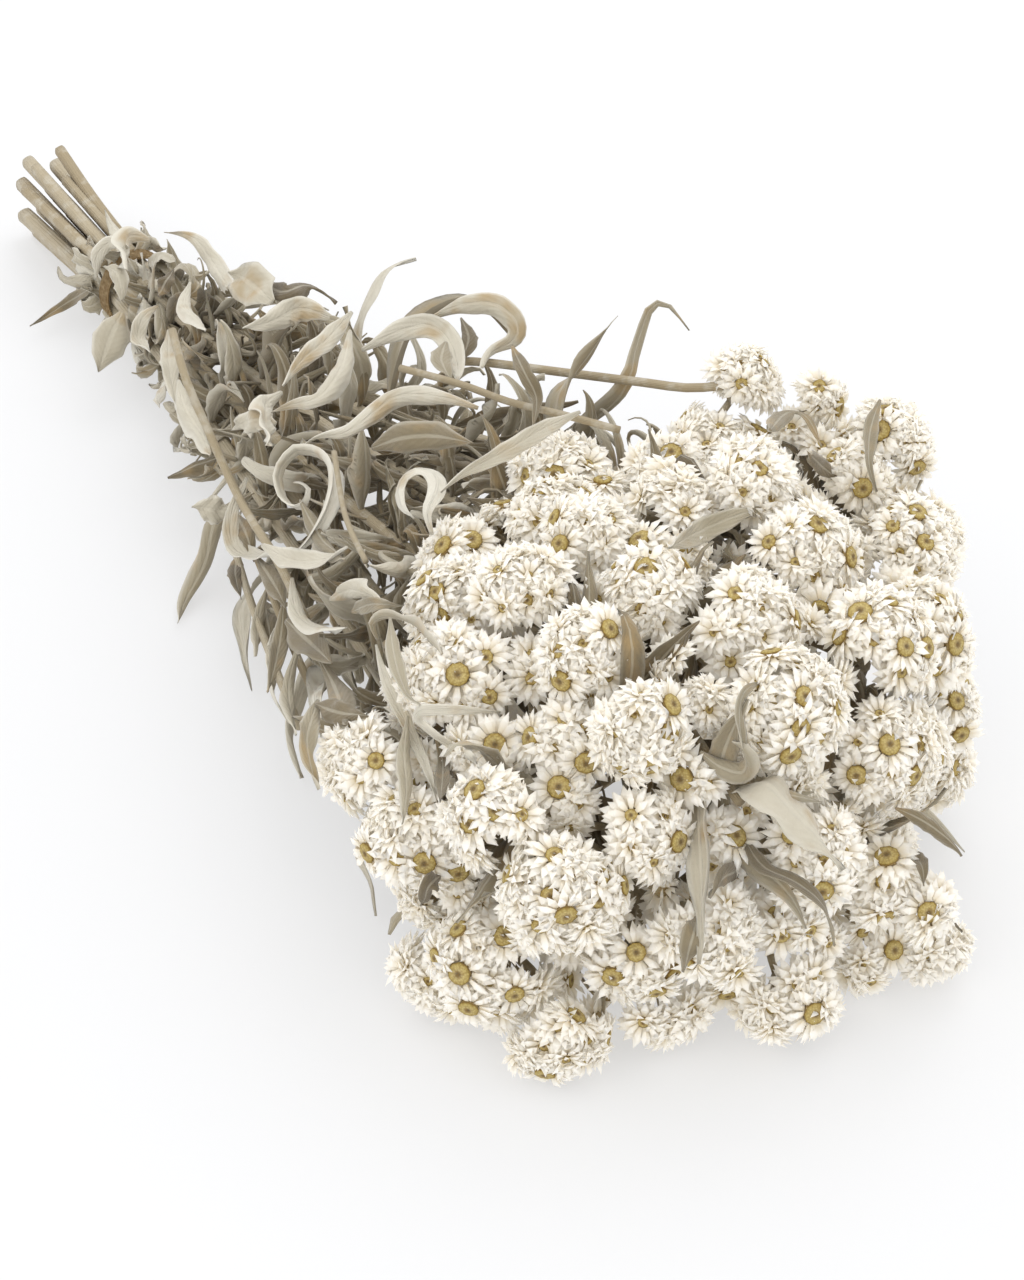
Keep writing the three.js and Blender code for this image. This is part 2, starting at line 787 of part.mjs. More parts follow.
// Whether a place lies within the mass of leaves, which widens from the tie to the flowers
function insideMass(place) {
  const share = Math.max((TIE.y - place.y) / (TIE.y - HEART.y), 0);
  const half = MASS_HALF.tied + MASS_HALF.more * share ** MASS_HALF.power;
  const middle = (MASS_TOP.tied + MASS_TOP.more * share ** MASS_TOP.power) / 2;
  return ((place.x - TIE.x) / half) ** 2 + ((place.z - middle) / middle) ** 2 < MASS_SLACK;
}

function leafFits(leaf, stem, allClusters) {
  const line = leafSections(leaf).map((section) => section.point);
  const open = line.every((point, i) => line.every((other, j) => (
    j < i + 2 || point.distanceTo(other) > 1.3 * point.distanceTo(line[i + 1])
  )));
  return open && leafSamples(leaf).every((sample) => (
    sample.place.z > FLOOR_CLEARANCE
    && insideMass(sample.place)
    && allClusters.every((cluster) => (
      sample.place.distanceTo(cluster.middle) > cluster.radius + CLUSTER_CLEARANCE
    ))
    && isClear(sample, stem)
  ));
}

function keepLeaf(leaf) {
  for (const sample of leafSamples(leaf)) {
    addObstacle(sample.place, LEAF_CLEARANCE, -1);
  }
}

// A leaf by rule: it leaves the stem at an angle, bends outwards or back, and rolls up at the tip
function drawnLeaf(stem, y, kind) {
  const root = stemPoint(stem, y);
  const along = stemDirection(stem, y);
  const axisZ = TIE.z + (HEART.z - TIE.z) * Math.min(Math.max((TIE.y - y) / (TIE.y - HEART.y), 0), 1);
  const outward = new THREE.Vector3(root.x - TIE.x, 0, Math.max(root.z - axisZ, -LOWEST_LEAN)).normalize();
  const roll = between(-1.3, 1.3) * kind.roll;
  const leaning = outward.clone()
    .addScaledVector(along, -outward.dot(along))
    .normalize()
    .applyAxisAngle(along, roll);
  const away = facetMiddle(root, along, leaning);
  const tilt = between(...kind.tilt);
  const length = between(...kind.length);
  const bend = between(...kind.bend);
  const curl = between(...kind.curl);
  const drift = between(-0.5, 0.5);
  const twist = between(-1.4, 1.4);
  const width = between(...kind.width);
  let direction = along.clone().multiplyScalar(Math.cos(tilt)).addScaledVector(away, Math.sin(tilt));
  let hinge = direction.clone().cross(away).normalize();
  const points = [root];
  for (let i = 0; i < LEAF_STEPS; i += 1) {
    const share = (i + 0.5) / LEAF_STEPS;
    const turn = (bend + curl * share ** 3) / LEAF_STEPS;
    direction = direction.clone().applyAxisAngle(hinge, turn);
    hinge = hinge.clone().applyAxisAngle(direction, drift / LEAF_STEPS);
    hinge.addScaledVector(direction, -hinge.dot(direction)).normalize();
    points.push(points[i].clone().addScaledVector(direction, length / LEAF_STEPS));
  }
  const first = points[1].clone().sub(points[0]).normalize();
  const start = away.clone().addScaledVector(first, -away.dot(first)).normalize().negate();
  return {
    y,
    away,
    frames: leafFrames(points, start, twist),
    width,
    segments: Math.abs(bend) + Math.abs(curl) > STRONG_CURL ? 6 : 4,
  };
}

// A smooth line through the given points, cut into even steps
function smoothLine(through, steps) {
  const fine = [through[0]];
  for (let i = 0; i + 1 < through.length; i += 1) {
    const [a, b] = [through[i], through[i + 1]];
    const leaving = b.clone().sub(through[Math.max(i - 1, 0)]).multiplyScalar(0.5);
    const reaching = through[Math.min(i + 2, through.length - 1)].clone().sub(a).multiplyScalar(0.5);
    for (let k = 1; k <= SPAN_STEPS; k += 1) {
      const t = k / SPAN_STEPS;
      fine.push(a.clone().multiplyScalar(2 * t ** 3 - 3 * t ** 2 + 1)
        .addScaledVector(b, 3 * t ** 2 - 2 * t ** 3)
        .addScaledVector(leaving, t ** 3 - 2 * t ** 2 + t)
        .addScaledVector(reaching, t ** 3 - t ** 2));
    }
  }
  const reached = [0];
  for (let i = 1; i < fine.length; i += 1) {
    reached.push(reached[i - 1] + fine[i].distanceTo(fine[i - 1]));
  }
  const length = reached[reached.length - 1];
  return Array.from({ length: steps + 1 }, (_, step) => {
    const wanted = Math.min(length * step / steps, length);
    const i = Math.min(Math.max(reached.findIndex((distance) => distance >= wanted), 1), fine.length - 1);
    return mix(fine[i - 1], fine[i], (wanted - reached[i - 1]) / (reached[i] - reached[i - 1]));
  });
}

// A leaf that follows a line of its own, taken from the photo
function placedLeaf(stem, { y, width, twist, line }) {
  const root = stemPoint(stem, y);
  const through = [root, ...line.map((place) => new THREE.Vector3(...place))];
  const points = smoothLine(through, LEAF_STEPS);
  const first = points[1].clone().sub(points[0]).normalize();
  const away = facetMiddle(root, stemDirection(stem, y), points[4].clone().sub(root));
  const start = away.clone().addScaledVector(first, -away.dot(first)).normalize().negate();
  return { y, away, frames: leafFrames(points, start, twist), width, segments: 6 };
}

function addObstacles(stems) {
  for (const stem of stems) {
    for (let y = stem.endY; y > stem.fork.y; y -= SAMPLE_STEP) {
      addObstacle(stemPoint(stem, y), STEM_RADIUS + STEM_CLEARANCE, stem.index);
    }
    stem.clusters.forEach((_, i) => {
      const stalk = corymbStalk(stem);
      const curve = i === 0 ? stalk : sideBranchlet(stem, stalk, i).curve;
      for (const point of curve.getPoints(14)) {
        addObstacle(point, BRANCHLET_RADIUS + BRANCHLET_CLEARANCE, -1);
      }
    });
  }
  for (let i = 0; i < 60; i += 1) {
    const angle = 2 * Math.PI * i / 60;
    for (const along of [-0.5, -0.25, 0, 0.25, 0.5]) {
      addObstacle(tiePoint(angle, TIE_WALL, along), TIE_CLEARANCE, -1);
    }
  }
}

function growLeaves(stems, allClusters) {
  for (const { stem, ...shape } of PLACED_LEAVES) {
    const leaf = placedLeaf(stems[stem], shape);
    stems[stem].leaves.push(leaf);
    keepLeaf(leaf);
  }
  for (let turn = 0; turn < LEAVES_PER_STEM; turn += 1) {
    for (const stem of stems.filter(({ from }) => !from)) {
      reseed(4000 + stem.index * 50 + turn);
      for (let attempt = 0; attempt < LEAF_TRIES; attempt += 1) {
        const leaf = drawnLeaf(stem, leafHeight(stem, turn, attempt), turn === 0 ? COLLAR_LEAF : BODY_LEAF);
        const spaced = stem.leaves.every((other) => Math.abs(other.y - leaf.y) > LEAF_SPACING);
        if (spaced && leafFits(leaf, stem.index, allClusters)) {
          stem.leaves.push(leaf);
          keepLeaf(leaf);
          break;
        }
      }
    }
  }
}

// Where along the stem a leaf is tried: the first close to the tie, the others each in a stretch
// of its own, and anywhere after a third of the tries
function leafHeight(stem, turn, attempt) {
  const free = attempt > LEAF_TRIES / 3;
  const share = free ? between(0, 1) : (turn - 0.5 + between(-0.6, 0.6)) / (LEAVES_PER_STEM - 1);
  const [nearest, furthest] = COLLAR_REACH;
  const last = Math.max(stem.fork.y + 12, 0);
  const y = turn === 0
    ? TIE.y - between(nearest, furthest)
    : TIE.y - furthest - share * (TIE.y - furthest - last);
  return Math.min(y, TIE.y - nearest);
}

function stemRow(stem, y) {
  return { point: stemPoint(stem, y), along: stemDirection(stem, y), radius: stemRadius(stem, y) };
}

function leafyStemGeometry(stem) {
  const skin = new Skin();
  const marks = [{ y: stem.endY }, { y: stem.fork.y }];
  if (!stem.from) {
    marks.push({ y: TIE.y + TIE_WIDTH }, { y: TIE.y - TIE_WIDTH });
  }
  for (const leaf of stem.leaves) {
    marks.push({ y: leaf.y + LEAF_BASE, leaf }, { y: leaf.y - LEAF_BASE });
  }
  for (let y = TIE.y + 33; y > stem.fork.y + 15; y -= STEM_STEP) {
    if (y < stem.endY && marks.every((mark) => Math.abs(mark.y - y) > STEM_STEP / 3)) {
      marks.push({ y });
    }
  }
  marks.sort((a, b) => b.y - a.y);
  const sprouts = marks.flatMap(({ leaf }, row) => (
    leaf ? [{ row, away: leaf.away, grow: (outline) => growLeaf(skin, leaf, outline) }] : []
  ));
  const ends = sproutingRod(skin, marks.map(({ y }) => stemRow(stem, y)), STEM_SIDES, sprouts);
  skin.closeFoot(ends.foot);
  skin.closeTip(ends.tip);
  return skin.geometry();
}

// A point of the band that ties the stems: an angle round it, how far out and how far along
function tiePoint(angle, out, along) {
  return new THREE.Vector3(
    TIE.x + (TIE_INNER.x + out) * Math.cos(angle),
    TIE.y + along * TIE_WIDTH,
    TIE.z + (TIE_INNER.z + out) * Math.sin(angle),
  );
}

function tieBand() {
  const skin = new Skin();
  const rings = Array.from({ length: TIE_SIDES }, (_, i) => {
    const angle = 2 * Math.PI * (i + 0.5) / TIE_SIDES;
    return skin.add([
      tiePoint(angle, 0, -0.5),
      tiePoint(angle, TIE_WALL, -0.5),
      tiePoint(angle, TIE_WALL, 0.5),
      tiePoint(angle, 0, 0.5),
    ]);
  });
  rings.forEach((ring, i) => skin.band(ring, rings[(i + 1) % TIE_SIDES]));
  return skin.geometry();
}

// What reaches below the floor is cut off level, which leaves a small flat where the bunch rests
function onFloor(geometry) {
  geometry.computeBoundingBox();
  if (geometry.boundingBox.min.z >= 0) {
    return geometry;
  }
  const slab = new THREE.BoxGeometry(600, 900, 40);
  slab.translate(0, 0, -20);
  return geometryOfSolid(solidOf(geometry).subtract(solidOf(slab)));
}

const stems = STEMS.map(planStem);
const allClusters = stems.flatMap((stem) => stem.clusters);
settle(allClusters);
stems.forEach(placeFork);
for (const cluster of allClusters) {
  const { fork } = stems[cluster.stem];
  const fromFork = cluster.middle.clone().sub(fork).normalize();
  const fromHeart = cluster.middle.clone().sub(vector(HEART)).normalize();
  cluster.axis = fromFork.multiplyScalar(FORK_PULL).add(fromHeart).normalize();
}
stems.push(planShoot(stems));
addObstacles(stems);
growLeaves(stems, allClusters);

const leafMaterial = new THREE.MeshStandardMaterial({ name: 'leaf', color: 0xb2ac9b, roughness: 0.95 });
const flowerMaterial = new THREE.MeshStandardMaterial({ name: 'flower', color: 0xf3eee0, roughness: 0.8 });
const bandMaterial = new THREE.MeshStandardMaterial({ name: 'band', color: 0xb98d5a, roughness: 0.7 });

const bunch = new THREE.Group();

function addNode(name, geometry, material) {
  const mesh = new THREE.Mesh(geometry, material.clone());
  mesh.name = name;
  bunch.add(mesh);
}

for (const stem of stems) {
  const number = String(stem.index + 1).padStart(2, '0');
  addNode(stem.from ? 'leafy_shoot' : `stem_${number}`, onFloor(leafyStemGeometry(stem)), leafMaterial);
  if (!stem.from) {
    addNode(`corymb_${number}`, onFloor(geometryOfSolid(corymbSolid(stem))), flowerMaterial);
  }
}
addNode('tie_band', tieBand(), bandMaterial);

// The origin goes under the middle of the bunch, on the floor
const box = new THREE.Box3().setFromObject(bunch);
const middle = box.getCenter(new THREE.Vector3());
bunch.position.set(-middle.x, -middle.y, -box.min.z);

export default bunch;
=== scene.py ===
# Dried pearl everlasting: the finer picture of a tied bunch that lies on its side.
# It repeats the layout of the part's source, so every stem, cluster and leaf stays in its place.

import json
import math

import bpy
import numpy as np
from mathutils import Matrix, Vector

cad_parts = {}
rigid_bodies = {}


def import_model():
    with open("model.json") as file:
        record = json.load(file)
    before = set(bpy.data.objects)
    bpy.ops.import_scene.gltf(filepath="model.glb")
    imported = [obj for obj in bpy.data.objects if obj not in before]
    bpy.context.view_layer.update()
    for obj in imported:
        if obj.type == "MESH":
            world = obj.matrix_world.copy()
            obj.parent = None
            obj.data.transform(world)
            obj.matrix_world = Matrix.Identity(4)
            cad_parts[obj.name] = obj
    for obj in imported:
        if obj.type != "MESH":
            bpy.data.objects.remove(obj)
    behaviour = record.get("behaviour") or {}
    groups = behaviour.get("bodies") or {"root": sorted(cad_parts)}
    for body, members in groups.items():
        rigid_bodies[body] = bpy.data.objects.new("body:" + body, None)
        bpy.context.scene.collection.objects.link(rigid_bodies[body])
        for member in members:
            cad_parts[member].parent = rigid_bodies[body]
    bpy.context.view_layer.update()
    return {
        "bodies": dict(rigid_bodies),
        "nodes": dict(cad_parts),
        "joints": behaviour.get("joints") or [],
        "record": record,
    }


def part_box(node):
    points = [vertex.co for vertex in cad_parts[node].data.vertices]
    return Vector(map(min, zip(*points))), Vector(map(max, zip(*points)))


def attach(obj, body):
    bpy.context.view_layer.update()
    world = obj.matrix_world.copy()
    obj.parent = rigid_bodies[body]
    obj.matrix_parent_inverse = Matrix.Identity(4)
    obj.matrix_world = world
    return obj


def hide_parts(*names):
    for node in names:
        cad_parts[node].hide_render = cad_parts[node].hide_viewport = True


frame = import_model()

# Sizes in millimetres, angles in radians and shares, as in the part's source
TIE = (2.0, 216.0, 17.4)
STALK_LENGTH = 78.0
CUT_SPREAD = 14.0
STALK_SPLAY = 0.5
STALK_DRIFT = (4.0, -4.4)
SLOT_PITCH = 4.7
SLOT_ROW = SLOT_PITCH * math.sqrt(3) / 2
OPENING = (1.3, 1.8)
HUB = (3.0, 24.0, 32.0)
FORK_REACH = 28.0
HEART = (4.0, -42.0, 38.0)
FORK_PULL = 1.6
STEM_RADIUS = 2.1
STEM_TIP_RADIUS = 1.45
STEM_SIDES = 6
BRANCHLET_RADIUS = 1.1
FIRST_BRANCH = 3.2
BRANCH_PITCH = 4.2
JOINT_GAP = 0.35
TIE_INNER = (10.1, 11.5)
TIE_WALL = 1.1
TIE_WIDTH = 5.0
FULLNESS = 1.28
DRAWN_IN = 0.96
CAP_FLATNESS = 0.8
SETTLE_ROUNDS = 60
CLUSTER_GAP = 0.5
KIN_SPACING = 0.78
FLOOR_SINK = 0.6
LEAF_STEPS = 20
LEAF_FOLD = 0.22
LOWEST_LEAN = 2.0
LEAVES_PER_STEM = 8
LEAF_TRIES = 200
LEAF_SPACING = 3.4
SPAN_STEPS = 8
BODY_LEAF = dict(roll=1.1, tilt=(0.5, 1.1), length=(25, 43), width=(4.8, 7.4),
                 bend=(-0.8, 1.8), curl=(-6, 11))
COLLAR_LEAF = dict(roll=0.9, tilt=(1.0, 2.0), length=(18, 28), width=(6, 8.5), bend=(0.4, 2.2), curl=(-2, 5))
COLLAR_REACH = (6.0, 14.0)
STRONG_CURL = 3.2
MASS_HALF = (15.0, 52.0, 1.1)
MASS_TOP = (36.0, 64.0, 0.95)
MASS_SLACK = 1.15
STEM_CLEARANCE = 1.7
BRANCHLET_CLEARANCE = 1.9
TIE_CLEARANCE = 2.7
CLUSTER_CLEARANCE = 1.2
LEAF_CLEARANCE = 2.9
FLOOR_CLEARANCE = 0.6
FREE_SHARE = 0.16
SAMPLES_ACROSS = 5
SAMPLE_STEP = 2.0

# Stems: the place in the tied bundle (column, row), and the clusters that each carries. Most were read
# from the photo as circles, put in space by a separate program and then moved.
STEMS = [
    ((-0.5, 2), [(16, -10, 80, 11), (-8, -31, 83, 10.5), (-6, -51, 88, 9.5)]),
    ((-1, 1), [(-33, -38, 77, 12), (-22, -49, 86, 10), (-46, -70, 73, 12.5), (-25, -16, 76, 8.5)]),
    ((1, 1), [(64, -7, 90, 8.5), (45, -18, 77, 12), (79, -20, 86, 6.5), (28, -27, 83, 9)]),
    ((1.5, 0), [(88, -36, 80, 9.5), (71, -44, 79, 8.5), (67, -68, 72, 11.5), (86, -56, 55, 11)]),
    ((0.5, 2), [(31, -49, 86, 10.5), (14, -45, 88, 9), (33, -74, 81, 13), (51, -52, 79, 9)]),
    ((0, 1), [(-7, -71, 88, 9.5), (10, -83, 84, 12.5), (10, -107, 77, 12)]),
    ((-0.5, 0), [(-36, -80, 80, 9.5), (-35, -88, 80, 9.5), (-45, -93, 66, 10.5)]),
    ((-1.5, 0), [(-62, -82, 48, 11.5), (-64, -57, 58, 10.5), (-62, -59, 35, 10.5)]),
    ((0, -1), [(-49, -102, 45, 12), (-43, -105, 58, 9.5), (-54, -86, 66, 9.5)]),
    ((-1, -1), [(-66, -88, 12, 9.5), (-62, -90, 25, 12.5), (-48, -98, 20, 9), (-58, -110, 9, 9.5)]),
    ((-0.5, -2), [(-39, -112, 33, 10), (-35, -110, 13, 9.5), (-20, -112, 23, 9.5), (-26, -122, 42, 10)]),
    ((0.5, -2), [(2, -122.5, 49, 10.5), (-3, -117, 27, 13), (-6, -129, 14, 10.5), (15, -123, 34, 9)]),
    ((0.5, 0), [(50, -88, 69, 11.5), (30, -100, 74, 11.5), (20, -113, 60, 13), (39, -107, 46, 10)]),
    ((1, -1), [
        (77, -69, 38, 11.5), (70, -84, 20, 11.5), (59, -94, 50, 9.5), (30, -110, 28, 10.5),
        (34, -133, 8, 7.5), (20, -127, 8, 8),
    ]),
]
SHOOT = dict(parent=5, y=-46.0, start=(-3.3, 0.0, -0.9), tip=(-14.0, -115.0, 66.0))
SHOOT_RADIUS = 1.35

# Leaves that stand out: stem, root along it, width, twist, and the line that the blade follows. About a
# third of the points are as a separate program put the photo's pixels in space. The rest were moved or set.
PLACED_LEAVES = [
    (4, 109, 5.5, 0.8, [(22, 114, 53), (26, 116, 58), (32, 118, 64), (41, 115, 67)]),
    (4, 85, 8, 0.5, [(22, 88, 63), (32, 87, 69), (41, 82, 69), (46, 72, 62)]),
    (4, 13, 6.5, 2.2, [(25, 20, 77), (32, 22, 84), (41, 24, 91), (46, 24, 95)]),
    (3, 49, 6, 1.3, [(41, 16, 77), (49, 20, 88), (57, 23, 97), (60, 13, 92)]),
    (1, 88, 6, 0.5, [(-23, 76, 45), (-21, 73, 53), (-15, 68, 55), (-14, 62, 49)]),
    (11, 49, 6, 0.8, [(-9, 38, 51), (-6, 41, 57), (0, 40, 60)]),
    (7, 97, 7.5, 0.6, [(-34, 95, 20), (-40, 91, 11), (-48, 88, 3.5), (-54, 81, 2.5)]),
    (7, 118, 6, 0.4, [(-25, 119, 21), (-29, 120, 20), (-35, 122, 18)]),
    (7, -26, 6.5, 0.5, [(-64, -33, 15), (-64, -40, 8), (-66, -45, 2.5)]),
    (9, 78, 6, 0.8, [(-33, 72, 15), (-42, 65, 13), (-48, 54, 9), (-52, 43, 4.5)]),
    (9, 40, 6.5, 0.6, [(-36, 33, 15), (-46, 27, 13), (-54, 18, 9), (-58, 6, 4.5)]),
    (7, 36, 6, 1, [(-42, 33, 30), (-51, 28, 31), (-60, 16, 28), (-60, 6, 23)]),
    (7, 4, 6.5, 0.8, [(-46, 2, 36), (-55, -3, 40), (-62, -12, 43), (-66, -22, 40)]),
    (13, -65, 6, 0.4, [(56, -90, 14), (61, -97, 10), (64, -103, 5)]),
    (14, -97.5, 7, 0.5, [(-20, -108, 66), (-27, -119, 62), (-34, -130, 52), (-37, -134, 45)]),
    (14, -101, 7, 0.4, [(-6, -112, 62), (2, -120, 65)]),
    (14, -104.5, 7, 1.2, [(-16, -110, 75), (-15, -112, 84), (-12, -113, 92)]),
    (14, -108, 8, 0.5, [(-17, -113, 57), (-15, -124, 55), (-13, -133, 52), (-12, -138, 46)]),
    (14, -111.5, 12, 0.3, [(-12, -121, 74), (-9, -131, 70), (-5, -140, 61)]),
]


# Plain vectors as tuples, so that the layout comes out the same as in the part's source
def add(a, b, share=1.0):
    return (a[0] + b[0] * share, a[1] + b[1] * share, a[2] + b[2] * share)


def sub(a, b):
    return (a[0] - b[0], a[1] - b[1], a[2] - b[2])


def scaled(a, factor):
    return (a[0] * factor, a[1] * factor, a[2] * factor)


def dot(a, b):
    return a[0] * b[0] + a[1] * b[1] + a[2] * b[2]


def cross(a, b):
    return (a[1] * b[2] - a[2] * b[1], a[2] * b[0] - a[0] * b[2], a[0] * b[1] - a[1] * b[0])


def size_of(a):
    return math.sqrt(dot(a, a))


def unit(a):
    return scaled(a, 1 / size_of(a))


def mix(a, b, share):
    return (a[0] + (b[0] - a[0]) * share, a[1] + (b[1] - a[1]) * share, a[2] + (b[2] - a[2]) * share)


def turned(v, axis, angle):
    c, s = math.cos(angle), math.sin(angle)
    return add(add(scaled(v, c), cross(axis, v), s), axis, dot(axis, v) * (1 - c))


def across_of(direction):
    helper = (0.0, 0.0, 1.0) if abs(direction[2]) < 0.8 else (1.0, 0.0, 0.0)
    return unit(cross(helper, direction))


class Draws:
    """The portable random numbers of the part's source."""

    def __init__(self):
        self.seed = 1

    def reseed(self, number):
        self.seed = (number * 7919 + 104729) % 2147483647
        self.draw()
        self.draw()

    def draw(self):
        self.seed = (self.seed * 48271) % 2147483647
        return self.seed / 2147483647

    def between(self, low, high):
        return low + (high - low) * self.draw()


draws = Draws()


class Bezier:
    """A cubic curve, measured as the part's source measures it."""

    def __init__(self, a, b, c, d):
        self.corners = (a, b, c, d)

    def point(self, t):
        a, b, c, d = self.corners
        k = 1 - t
        return add(add(add(scaled(a, k * k * k), b, 3 * k * k * t), c, 3 * k * t * t), d, t * t * t)

    def tangent(self, t):
        return unit(sub(self.point(min(t + 1e-4, 1.0)), self.point(max(t - 1e-4, 0.0))))

    def length(self):
        points = [self.point(i / 200) for i in range(201)]
        return sum(size_of(sub(q, p)) for p, q in zip(points, points[1:]))


def plan_stems():
    stems = []
    for index, (slot, places) in enumerate(STEMS):
        clusters = [dict(middle=mix(HEART, (x, y, z), DRAWN_IN), radius=r * FULLNESS, stem=index)
                    for x, y, z, r in places]
        stems.append(dict(index=index, slot=(slot[0] * SLOT_PITCH, slot[1] * SLOT_ROW),
                          clusters=clusters, leaves=[], start=None))
    return stems


def settle(clusters):
    for _ in range(SETTLE_ROUNDS):
        for i, a in enumerate(clusters):
            for b in clusters[i + 1:]:
                apart = sub(b["middle"], a["middle"])
                reach = a["radius"] + b["radius"]
                need = KIN_SPACING * reach if a["stem"] == b["stem"] else reach + CLUSTER_GAP
                distance = size_of(apart)
                if distance < need:
                    apart = scaled(apart, (need - distance) / distance / 2)
                    a["middle"] = sub(a["middle"], apart)
                    b["middle"] = add(b["middle"], apart)
        for cluster in clusters:
            x, y, z = cluster["middle"]
            cluster["middle"] = (x, y, max(z, cluster["radius"] - FLOOR_SINK))


def place_fork(stem):
    centre = (0.0, 0.0, 0.0)
    for cluster in stem["clusters"]:
        centre = add(centre, cluster["middle"], 1 / len(stem["clusters"]))
    stem["fork"] = add(centre, unit(sub(HUB, centre)), FORK_REACH)
    draws.reseed(stem["index"] + 900)
    stem["end_y"] = TIE[1] + STALK_LENGTH - draws.between(0, CUT_SPREAD)


def stem_point(stem, y):
    if stem["start"]:
        a, b = stem["start"], stem["fork"]
        return mix(a, b, (a[1] - y) / (a[1] - b[1]))
    slot_x, slot_z = stem["slot"]
    if y > TIE[1]:
        back = (y - TIE[1]) / STALK_LENGTH
        spread = 1 + STALK_SPLAY * back
        return (TIE[0] + slot_x * spread + STALK_DRIFT[0] * back, y,
                TIE[2] + slot_z * spread + STALK_DRIFT[1] * back)
    share = (TIE[1] - y) / (TIE[1] - stem["fork"][1])
    return (TIE[0] + slot_x + (stem["fork"][0] - TIE[0] - slot_x) * share ** OPENING[0], y,
            TIE[2] + slot_z + (stem["fork"][2] - TIE[2] - slot_z) * share ** OPENING[1])


def stem_radius(stem, y):
    if stem["start"]:
        return SHOOT_RADIUS
    share = (stem["end_y"] - y) / (stem["end_y"] - stem["fork"][1])
    return STEM_RADIUS + (STEM_TIP_RADIUS - STEM_RADIUS) * share


def stem_direction(stem, y):
    return unit(sub(stem_point(stem, y - 1), stem_point(stem, y)))


def cap_foot(cluster):
    return add(cluster["middle"], cluster["axis"], -cluster["radius"] * CAP_FLATNESS * 0.5 - 1.5)


def branchlet(start, direction, cluster):
    end = cap_foot(cluster)
    reach = 0.4 * size_of(sub(end, start))
    return Bezier(start, add(start, direction, reach), add(end, cluster["axis"], -reach), end)


def corymb_stalk(stem):
    direction = stem_direction(stem, stem["fork"][1])
    return branchlet(add(stem["fork"], direction, JOINT_GAP), direction, stem["clusters"][0])


def side_branchlet(stem, stalk, i):
    cluster = stem["clusters"][i]
    start = stalk.point((FIRST_BRANCH + BRANCH_PITCH * (i - 1)) / stalk.length())
    return branchlet(start, unit(sub(cap_foot(cluster), start)), cluster)


def leaf_frames(points, facing, twist):
    face = facing
    frames = []
    last = len(points) - 1
    for i, point in enumerate(points):
        along = unit(sub(points[min(i + 1, last)], points[max(i - 1, 0)]))
        face = unit(add(face, along, -dot(face, along)))
        side = cross(along, face)
        angle = twist * (i / last) ** 2
        c, s = math.cos(angle), math.sin(angle)
        frames.append((point, add(scaled(side, c), face, s), add(scaled(face, c), side, -s)))
    return frames


def leaf_width(share):
    return 0.22 + 0.78 * math.sin(math.pi * min(0.1 + 0.9 * share, 1))


def fold_at(share):
    return LEAF_FOLD * np.minimum(2.2 * share, 1)


def leaf_sections(leaf):
    sections = []
    for i in range(leaf["segments"] + 1):
        pick = math.floor(LEAF_STEPS * i / leaf["segments"] + 0.5)
        share = pick / LEAF_STEPS
        sections.append((*leaf["frames"][pick], leaf["width"] * leaf_width(share), share))
    return sections


def leaf_samples(leaf):
    """Points over the blade, and how far along it each one is."""
    places, shares = [], []
    sections = leaf_sections(leaf)
    for a, b in zip(sections, sections[1:]):
        steps = max(math.floor(size_of(sub(a[0], b[0])) / SAMPLE_STEP + 0.5), 2)
        t = (np.arange(steps) + 1)[:, None] / steps
        middle, side, face = (np.array(a[i]) * (1 - t) + np.array(b[i]) * t for i in range(3))
        width = a[3] + (b[3] - a[3]) * t
        along = a[4] + (b[4] - a[4]) * t
        fold = fold_at(along)
        for k in range(SAMPLES_ACROSS + 1):
            across = k / SAMPLES_ACROSS - 0.5
            places.append(middle + side * across * width + face * fold * width * abs(2 * across))
            shares.append(along[:, 0])
    return np.concatenate(places), np.concatenate(shares)


class Obstacles:
    """What leaves keep clear of."""

    def __init__(self):
        self.place = np.zeros((0, 3))
        self.need = np.zeros(0)
        self.stem = np.zeros(0, int)

    def add(self, places, need, stem):
        places = np.array(places, float).reshape(-1, 3)
        self.place = np.concatenate([self.place, places])
        self.need = np.concatenate([self.need, np.full(len(places), need)])
        self.stem = np.concatenate([self.stem, np.full(len(places), stem)])

    def clear(self, places, shares, stem):
        low, high = places.min(0) - 5, places.max(0) + 5
        near = np.all((self.place > low) & (self.place < high), axis=1)
        if not near.any():
            return True
        apart = np.linalg.norm(places[:, None] - self.place[near][None], axis=2)
        own = (self.stem[near][None] == stem) & (shares[:, None] < FREE_SHARE)
        return not ((apart < self.need[near][None]) & ~own).any()


obstacles = Obstacles()


def facet_middle(along, away):
    side = across_of(along)
    up = cross(along, side)
    angle = math.atan2(dot(away, up), dot(away, side))
    facet = math.floor(angle * STEM_SIDES / (2 * math.pi)) % STEM_SIDES
    middle = 2 * math.pi * (facet + 0.5) / STEM_SIDES
    return add(scaled(side, math.cos(middle)), up, math.sin(middle))


def grown_leaf(root, y, along, away, kind, random):
    tilt, length, bend, curl = (random.between(*kind[name]) for name in ("tilt", "length", "bend", "curl"))
    drift = random.between(-0.5, 0.5)
    twist = random.between(-1.4, 1.4)
    width = random.between(*kind["width"])
    direction = add(scaled(along, math.cos(tilt)), away, math.sin(tilt))
    hinge = unit(cross(direction, away))
    points = [root]
    for i in range(LEAF_STEPS):
        share = (i + 0.5) / LEAF_STEPS
        direction = turned(direction, hinge, (bend + curl * share ** 3) / LEAF_STEPS)
        hinge = turned(hinge, direction, drift / LEAF_STEPS)
        hinge = unit(add(hinge, direction, -dot(hinge, direction)))
        points.append(add(points[i], direction, length / LEAF_STEPS))
    return finished_leaf(points, y, away, width, twist, 6 if abs(bend) + abs(curl) > STRONG_CURL else 4)


